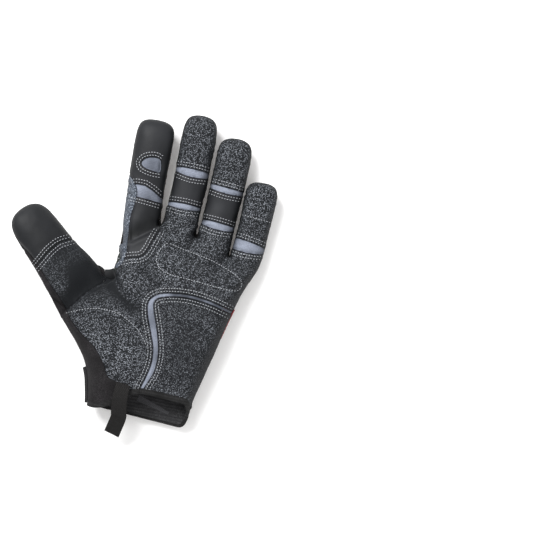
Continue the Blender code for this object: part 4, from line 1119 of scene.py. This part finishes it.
# The black knit of the back and of the strip up the thumb's outer side: a close stretch knit with a dull
# purple cast, whose stitches lie in fine slanting rows.
def close_knit(place):
    x, y, z = place.axes()
    wales = ((x + z + y * 0.3) * 5600.0).sine()
    courses = ((y - x * 0.3 + z * 0.5) * 5600.0).sine()
    fuzz = place.clouds(1900.0, 2.0)
    shade = fuzz.between(0.42, 0.7) * place.clouds(60.0, 3.0).between(0.2, 0.8)
    return {
        "Base Color": shade.mix((0.006, 0.0055, 0.006), (0.044, 0.041, 0.044)),
        "Normal": (wales * courses * 0.25 + fuzz).bump(0.6, 0.3 * MM),
    }


black_knit = finish("black_knit", close_knit, specular=0.15, roughness=0.9)
place_panels(
    "thumb_gusset hand_back finger_backs index_back middle_back ring_back pinky_back thumb_back", "_knit",
    black_knit, "black_knit"
)


# The leather of the back: charcoal bands over the middle joints, black wraps that run over the fingertips, and the
# plain black strip between the thumb and the hand.
band_leather = finish("band_leather", smooth_leather((0.012, 0.013, 0.015), (0.050, 0.053, 0.060)), specular=0.25)
for finger in FINGERS:
    place_panels(finger.name + "_band", "_leather", band_leather, "smooth_leather")
    place_panels(finger.name + "_wrap", "_leather", tip_leather, "smooth_leather")
place_panels("thumb_wrap back_strip", "_leather", tip_leather, "smooth_leather")


# The knuckle panel: a thin supple leather of a dark greenish black, sewn round its edge to the knit of the back.
knuckle_leather = finish(
    "knuckle_leather", smooth_leather((0.010, 0.013, 0.012), (0.022, 0.028, 0.025)), specular=0.28
)
place_panels("knuckle_panel", "_leather", knuckle_leather, "knuckle_leather")


# The plain red panel at the little finger's side of the back, and its rolled edge, which shows from the palm side as
# a thin red line at the side seam. Their light doesn't tint the floor, as it doesn't in the print.
RED_EDGE = (-0.340, -0.085)
RED_EDGE_RADIUS = 0.7 * MM
RED_EDGE_TAPER = 0.35
SIDE_SEAM_X = 0.3


def side_seam_points(low, high):
    """The points of the little finger's side seam between two heights along the hand, in order."""
    bm = bmesh.new()
    bm.from_mesh(skin)
    spots = [
        vert.co.copy() for vert in bm.verts
        if len({face.material_index for face in vert.link_faces}) == 2
        and vert.co.x > SIDE_SEAM_X * KNUCKLE_WIDTH and low * PALM_LENGTH < vert.co.y < high * PALM_LENGTH
    ]
    bm.free()
    spots.sort(key=lambda spot: spot.y)
    return smooth_line(spots[::6], steps=2)


def tube_along(spots, radius, start_share):
    """A round rod along the spots, whose start is thinner than its end."""
    curve = bpy.data.curves.new("tube", "CURVE")
    curve.dimensions = "3D"
    curve.bevel_depth = radius
    curve.bevel_resolution = 3
    curve.use_fill_caps = True
    spline = curve.splines.new("POLY")
    spline.points.add(len(spots) - 1)
    spline.points.foreach_set("co", [value for spot in spots for value in (*spot, 1)])
    spline.points.foreach_set("radius", np.linspace(start_share, 1.0, len(spots)))
    obj = bpy.data.objects.new("tube", curve)
    scene.collection.objects.link(obj)
    mesh = evaluated(obj)
    bpy.data.objects.remove(obj)
    return mesh


red_leather = finish("red_leather", smooth_leather((0.10, 0.004, 0.004), (0.50, 0.025, 0.024)))
red_edge = tube_along(side_seam_points(*RED_EDGE), RED_EDGE_RADIUS, RED_EDGE_TAPER)
for node, mesh in (("red_side_panel", panels["red_side_panel"]), (None, red_edge)):
    red_piece = place_piece((node or "red_edge") + "_leather", mesh, node, red_leather, "red_leather")
    red_piece.visible_diffuse = False


# The seams' thread: a grey bonded thread, sewn in single and double rows of short stitches along the panels.
STITCH = 1.60 * MM
STITCH_PITCH = 2.15 * MM
THREAD = 0.23 * MM
THREAD_SUNK = 0.35
STEEPEST = 0.25
LONGEST = 3 * STITCH
# The double rows at the two sides of a seam, by how far they are to its left
LEFT = (1.7 * MM, 4.0 * MM)
RIGHT = (-1.7 * MM, -4.0 * MM)
PINKY_ROW = FingerSeam(0.575, 0.560, 0.545, "")

skin_tree = tree_of(skin)


def spaced(line, pitch, closed=False):
    """Middles and directions of stitches at an even pitch along a line."""
    line = line + line[:1] if closed else line
    done = pitch / 2
    for start, end in zip(line, line[1:]):
        length = (end - start).length
        while done < length:
            yield start.lerp(end, done / length), (end - start) / length
            done += pitch
        done -= length


def on_skin(spot, below):
    """The skin's point and normal over or under a spot."""
    height = -1 if below else 1
    start = Vector((spot.x, spot.y, height))
    place, normal, _, _ = skin_tree.ray_cast(start, Vector((0, 0, -height)))
    return place, normal


def sew(turns, line, rows=(0,), below=False, closed=False):
    """Adds the places of rows of stitches beside a line seen from above, on the palm side or, below, on the back."""
    for distance in rows:
        for spot, along in spaced(beside(line, distance, closed), STITCH_PITCH, closed):
            place, normal = on_skin(spot, below)
            start, _ = on_skin(spot - along * STITCH / 2, below)
            end, _ = on_skin(spot + along * STITCH / 2, below)
            if not (place and start and end) or abs(normal.z) < STEEPEST or (end - start).length > LONGEST:
                continue
            forward = (end - start).normalized()
            side = normal.cross(forward).normalized()
            turn = Matrix((forward * STITCH / 2, side * THREAD, forward.cross(side) * THREAD)).transposed().to_4x4()
            turns.append(Matrix.Translation(place + normal * THREAD * THREAD_SUNK) @ turn)


def sewn_piece(name, rows):
    """A piece of many stitches, each a copy of one bead at its own place."""
    turns = []
    rows(turns)
    bead = mesh_from("bead", lambda bm: bmesh.ops.create_uvsphere(bm, u_segments=6, v_segments=5, radius=1))
    corners = np.array([(*vert.co, 1) for vert in bead.vertices])
    places = np.einsum("nij,vj->nvi", np.array(turns), corners)[:, :, :3].reshape(-1, 3)
    faces = [
        [corner + len(corners) * i for corner in face.vertices] for i in range(len(turns)) for face in bead.polygons
    ]
    mesh = bpy.data.meshes.new(name)
    mesh.from_pydata(places, (), faces)
    place_piece(name, mesh, None, thread, "thread")


def thread_look(place):
    return {"Base Color": place.clouds(1800.0, 1.0).mix((0.25, 0.26, 0.28), (0.52, 0.54, 0.57))}


def palm_rows(turns):
    for finger in FINGERS:
        lines = finger_lines(finger, PALM_SEAMS)
        for low, high in zip(lines[0::2], lines[1::2]):
            sew(turns, low, RIGHT)
            sew(turns, high, LEFT)
    sew(turns, hand_line(INDEX_INSET_OUTLINE), RIGHT)
    sew(turns, hand_line(PIPING_OUTLINE[:14]), LEFT)
    sew(turns, hand_line(PIPING_OUTLINE[14:]), LEFT)
    sew(turns, hand_line(INDEX_BASE_LINE[:6]), LEFT + RIGHT)
    sew(turns, thumb_line(THUMB_CAP_LINE), LEFT + RIGHT)
    sew(turns, hand_line(PALM_PAD_OUTLINE, True), closed=True)
    sew(turns, finger_seam_line(FINGERS[3], PINKY_ROW))
    sew(turns, hand_line(THENAR_LINE))


def back_rows(turns):
    for finger in FINGERS:
        for line, rows in zip(finger_lines(finger, BACK_SEAMS), (LEFT, RIGHT, LEFT[:1])):
            sew(turns, line, rows, True)
    for line, rows in (
        (hand_line(KNUCKLE_PANEL_TOP), RIGHT), (thumb_line(THUMB_PATCH_LINE), RIGHT),
        (hand_line(BACK_STRIP_INNER[:5]), RIGHT[:1]), (hand_line(BACK_STRIP_OUTER[:5]), LEFT[:1]),
        (hand_line(KNUCKLE_PANEL_BOTTOM), LEFT[:1]), (thumb_line(THUMB_WRAP_LINE), RIGHT[:1]),
    ):
        sew(turns, line, rows, True)


thread = finish("grey_thread", thread_look, specular=0.3, roughness=0.6)
sewn_piece("palm_stitches", palm_rows)
sewn_piece("back_stitches", back_rows)


# The closure strap round the back of the wrist: a plain black webbing strap with a pointed end, shown fastened. It
# lies just off the back, and the badge is fixed on it.
STRAP_WIDTH = 34.0 * MM
STRAP_THICKNESS = 2.2 * MM
STRAP_MIDDLE = -0.800 * PALM_LENGTH
STRAP_OUTLINE = ((-0.60, -0.50), (0.22, -0.50), (0.272, -0.12), (0.235, 0.50), (-0.42, 0.50), (-0.60, 0.10))
STRAP_BLANK = 0.85
SEAT_GAP = 0.3 * MM


def round_off(bm, edges, radius):
    bmesh.ops.bevel(
        bm, geom=edges, offset=radius, segments=3, profile=0.5, affect="EDGES", clamp_overlap=True, material=-1
    )


def slab(bm, outline, low, high, rounding=0.0):
    """An upright block on an outline seen from above, with its edges rounded."""
    face = bm.faces.new([bm.verts.new((p.x, p.y, low)) for p in outline])
    grown = bmesh.ops.extrude_face_region(bm, geom=[face], use_keep_orig=True)["geom"]
    for item in grown:
        if isinstance(item, bmesh.types.BMVert):
            item.co.z = high
    bmesh.ops.recalc_face_normals(bm, faces=bm.faces)
    if rounding:
        round_off(bm, [e for e in bm.edges if abs(e.verts[0].co.z - e.verts[1].co.z) < WELD], rounding)


def near_strap(face):
    on_back = face.material_index == BACK_ZONE
    return on_back and abs(face.calc_center_median().y - STRAP_MIDDLE) <= STRAP_WIDTH * STRAP_BLANK


def webbing_look(dark, pale):
    def dress(place):
        x, y, z = place.axes()
        weave = (x * 3900.0).sine() * ((y + z) * 3900.0).sine() * 0.5 + 0.5
        fuzz = place.clouds(900.0, 2.0)
        return {"Base Color": (weave * fuzz).mix(dark, pale), "Normal": (weave + fuzz).bump(0.5, 0.3 * MM)}

    return dress


strap_webbing = finish(
    "strap_webbing", webbing_look((0.012, 0.012, 0.013), (0.050, 0.049, 0.050)), specular=0.15, roughness=0.85
)
strap_outline = [Vector((x * KNUCKLE_WIDTH, STRAP_MIDDLE + y * STRAP_WIDTH, 0)) for x, y in STRAP_OUTLINE]
strap_tool = mesh_from("strap_tool", lambda bm: slab(bm, strap_outline, -PALM_HEIGHT, PALM_HEIGHT))
strap_blank = mesh_from("strap", lambda bm: skin_wall(bm, near_strap, -SEAT_GAP, -SEAT_GAP - STRAP_THICKNESS))
strap = boolean(strap_blank, strap_tool, "INTERSECT")
place_piece("wrist_strap_webbing", strap, "wrist_strap", strap_webbing, "webbing")


# The moulded badge on the strap: a black rubber bar with round ends. On it stand a silver crescent, the grey pad
# inside it and a plain red plate, all without lettering.
BADGE_LENGTH = 66.0 * MM
BADGE_WIDTH = 25.0 * MM
BADGE_THICKNESS = 1.8 * MM
BADGE_ROUNDING = 0.45 * MM
BADGE_GROOVE = 1.2 * MM
RELIEF_THICKNESS = 1.6 * MM
BADGE_X = -0.075 * KNUCKLE_WIDTH


def half_circle(x, y, radius, first, steps):
    """Points round a half circle, anticlockwise from an angle."""
    angles = [first + math.pi * step / steps for step in range(steps + 1)]
    return [Vector((x + radius * math.cos(angle), y + radius * math.sin(angle), 0)) for angle in angles]


def oblong(x, y, length, width):
    """The outline of a bar with round ends, anticlockwise."""
    offset = (length - width) / 2
    right = half_circle(x + offset, y, width / 2, -math.pi / 2, 14)
    return right + half_circle(x - offset, y, width / 2, math.pi / 2, 14)


def half_round(x, radius, tail):
    """A line round a half circle that opens to the thumb's side, with two straight tails."""
    start, end = (Vector((x - tail, STRAP_MIDDLE + side * radius, 0)) for side in (-1, 1))
    return [start, *half_circle(x, STRAP_MIDDLE, radius, -math.pi / 2, 22), end]


def moulded_look(dark, pale):
    def dress(place):
        cloud = place.clouds(90.0, 4.0)
        bump = place.clouds(1400.0, 2.0).bump(0.15, 0.1 * MM)
        return {"Base Color": cloud.mix(dark, pale), "Roughness": cloud * 0.2 + 0.34, "Normal": bump}

    return dress


badge_top = WRIST_LIFT - STRAP_THICKNESS - 3 * SEAT_GAP
ring_radius = BADGE_WIDTH * 0.44
ring_width = BADGE_WIDTH * 0.13
ring_x = BADGE_X + BADGE_LENGTH / 2 - BADGE_WIDTH / 2
tail = BADGE_LENGTH * 0.30
pad_radius = ring_radius - ring_width - BADGE_GROOVE
slant = BADGE_WIDTH * 0.22
plate_left = BADGE_X - BADGE_LENGTH * 0.46
plate_right = ring_x - tail - BADGE_GROOVE
plate = [Vector((x, STRAP_MIDDLE + y * BADGE_WIDTH, 0)) for x, y in (
    (plate_left + slant, -0.36), (plate_right, -0.44), (plate_right - slant, 0.44), (plate_left, 0.30),
)]
crescent = half_round(ring_x, ring_radius, tail) + half_round(ring_x, ring_radius - ring_width, tail)[::-1]
black_rubber = finish("black_rubber", moulded_look((0.012, 0.012, 0.013), (0.030, 0.030, 0.032)))
silver = finish("silver_moulding", moulded_look((0.45, 0.46, 0.48), (0.62, 0.63, 0.65)), metallic=0.6)
grey_rubber = finish("grey_rubber", moulded_look((0.09, 0.092, 0.098), (0.15, 0.155, 0.165)))
red_rubber = finish("red_rubber", moulded_look((0.45, 0.020, 0.018), (0.58, 0.035, 0.030)))
BADGE_PIECES = (
    ("badge_base", oblong(BADGE_X, STRAP_MIDDLE, BADGE_LENGTH, BADGE_WIDTH), badge_top - BADGE_THICKNESS, badge_top,
     black_rubber, "moulded_black"),
    ("badge_crescent", crescent, 0, RELIEF_THICKNESS, silver, "silver"),
    ("badge_pad", half_round(ring_x, pad_radius, tail), 0.4 * RELIEF_THICKNESS, RELIEF_THICKNESS, grey_rubber,
     "moulded_grey"),
    ("badge_plate", plate, 0, RELIEF_THICKNESS, red_rubber, "moulded_red"),
)
for node, outline, low, high, material, slot in BADGE_PIECES:
    mesh = mesh_from(node, lambda bm: slab(bm, outline, low, high, BADGE_ROUNDING))
    place_piece(node + "_moulding", mesh, node, material, slot)


# The cuff's edge: a ribbed elastic tape folded over the raw edge of leather and knit, and a ribbed lining inside the
# mouth. A narrow paler tape is sewn slantwise on the lining.
HEM_REACH = 2.2 * MM
HEM_OVERHANG = 2.2 * MM
HEM_COVER = 0.35 * MM
HEM_ROUNDING = 0.7 * MM
LINING_DEPTH = 23.0 * MM
LINING_GAP = 0.2 * MM
LINING_THICKNESS = 0.8 * MM
TAPE_WIDTH = 5.0 * MM
TAPE_TAPER = 0.65
TAPE_THICKNESS = 0.3 * MM
TAPE_LIFT = 0.15 * MM
MOUTH_HEIGHT = 0.3 * PALM_HEIGHT + WRIST_LIFT
TAPE_LINE = ((-0.105, -0.845), (0.010, -0.876), (0.122, -0.908))


def hem_tape(bm):
    """The tape over the cuff's edge, whose fold stands past it."""
    rim = KDTree(len(skin.vertices))
    edge = bmesh.new()
    edge.from_mesh(skin)
    for vert in edge.verts:
        if vert.is_boundary:
            rim.insert(vert.co, vert.index)
    edge.free()
    rim.balance()
    mouth = skin_wall(
        bm, lambda face: rim.find(face.calc_center_median())[2] < HEM_REACH, -HEM_COVER, WALL + HEM_COVER
    )
    for vert in bm.verts:
        if vert[mouth]:
            vert.co.y -= HEM_OVERHANG
    round_off(
        bm, [e for e in bm.edges if e.verts[0][mouth] and e.verts[1][mouth] and e.calc_face_angle(0) > 1],
        HEM_ROUNDING
    )


def in_lining(face):
    top = PALM_ROWS[0].left_y * PALM_LENGTH + LINING_DEPTH
    return face.material_index == BACK_ZONE and face.calc_center_median().y < top


def ribbed_elastic(dark, pale):
    def dress(place):
        ribs = (place.axes()[1] * 2500.0 + place.clouds(40.0, 1.0) * 5.0).sine() * 0.5 + 0.5
        fuzz = place.clouds(1300.0, 2.0)
        shade = (ribs * 0.45 + 0.55) * fuzz.between(0.25, 0.75) * place.clouds(90.0, 3.0).between(0.2, 0.8)
        return {"Base Color": shade.mix(dark, pale), "Normal": (ribs + fuzz).bump(0.5, 0.4 * MM)}

    return dress


def tape_of(bm, rows, columns, thickness, place):
    """A tape on a grid, thickened. place gives a point from its row along the tape and its share across, -1 to 1."""
    bmesh.ops.create_grid(bm, x_segments=rows - 1, y_segments=columns, size=1)
    for vert in bm.verts:
        vert.co = place(round((vert.co.x + 1) / 2 * (rows - 1)), vert.co.y)
    bmesh.ops.solidify(bm, geom=bm.faces[:], thickness=thickness)
    bmesh.ops.recalc_face_normals(bm, faces=bm.faces)


elastic = finish(
    "ribbed_elastic", ribbed_elastic((0.006, 0.006, 0.006), (0.040, 0.040, 0.041)), specular=0.15, roughness=0.85
)
place_piece("cuff_binding_tape", mesh_from("hem_tape", hem_tape), "cuff_binding", elastic, "elastic")
lining = mesh_from("lining", lambda bm: skin_wall(
    bm, in_lining, WALL + LINING_GAP, WALL + LINING_GAP + LINING_THICKNESS
))
ribbed_lining = finish(
    "ribbed_lining", ribbed_elastic((0.012, 0.012, 0.013), (0.100, 0.100, 0.104)), specular=0.15, roughness=0.9
)
place_piece("cuff_lining", lining, None, ribbed_lining, "lining")


def slant_tape(bm):
    """The narrow tape: a strip laid on the lining along its line."""
    tree = tree_of(lining)
    ways = list(neighbours(hand_line(TAPE_LINE)))

    def place(number, across):
        before, spot, after = ways[number]
        half = TAPE_WIDTH / 2 * (1 - TAPE_TAPER * number / len(ways))
        spot = spot + sideways(before, after) * across * half
        found = tree.ray_cast(Vector((spot.x, spot.y, MOUTH_HEIGHT)), Vector((0, 0, -1)))[0]
        return (found or spot) + Vector((0, 0, TAPE_LIFT))

    tape_of(bm, len(ways), 2, TAPE_THICKNESS, place)


tape_webbing = finish("slant_tape", webbing_look((0.020, 0.020, 0.023), (0.085, 0.084, 0.092)), roughness=0.8)
place_piece("cuff_slant_tape", mesh_from("slant_tape", slant_tape), None, tape_webbing, "elastic")


# The pull loop: a black tape folded in two and sewn inside the palm's hem, which hangs out over the open cuff. Near
# the hem it is a little narrower and less straight than at the fold.
LOOP_WIDTH = 12.0 * MM
LOOP_SHARES = (0.92, 1.04)
LOOP_SWAY = 0.042
SWAY_TURNS = 7
WEBBING_THICKNESS = 1.1 * MM
LAYER_OFFSET = 0.75 * WEBBING_THICKNESS
LOOP_LINE = (
    (-0.207, -0.746, 0.897), (-0.212, -0.784, 1.026), (-0.212, -0.862, 1.035), (-0.203, -0.948, 0.941),
    (-0.200, -0.991, 0.853), (-0.230, -1.108, 0.471),
)


def loop_path():
    """Each spot of the folded tape's middle line and its direction across: out below, round the fold and back."""
    line = smooth_line(
        [Vector((x * KNUCKLE_WIDTH, y * PALM_LENGTH, z * PALM_HEIGHT)) for x, y, z in LOOP_LINE], steps=4
    )
    lower, upper, turn = [], [], []
    for before, spot, after in neighbours(line):
        across = sideways(before, after).normalized()
        up = (after - before).normalized().cross(across)
        lower.append((spot - up * LAYER_OFFSET, across))
        upper.append((spot + up * LAYER_OFFSET, across))
    along = (after - before).normalized()
    for step in range(1, 6):
        angle = -math.pi / 2 + math.pi * step / 6
        turn.append((line[-1] + (along * math.cos(angle) + up * math.sin(angle)) * LAYER_OFFSET, across))
    return lower + turn + upper[::-1]


def loop_tape(bm):
    path = loop_path()

    def place(number, share):
        spot, across = path[number]
        reach = min(number, len(path) - 1 - number) / (len(path) / 2)
        sway = LOOP_SWAY * math.sin(SWAY_TURNS * reach + 1) * (1 - reach)
        return spot + across * (share * blend(*LOOP_SHARES, reach) + sway) * LOOP_WIDTH / 2

    tape_of(bm, len(path), 6, WEBBING_THICKNESS, place)


loop_webbing = finish(
    "loop_webbing", webbing_look((0.006, 0.006, 0.006), (0.036, 0.034, 0.034)), specular=0.08, roughness=0.9
)
pull_loop = place_piece("pull_loop_tape", mesh_from("pull_loop", loop_tape), "pull_loop", loop_webbing, "webbing")
LOOP_LENGTH = sum((after[0] - before[0]).length for before, after in zip(loop_path(), loop_path()[1:]))
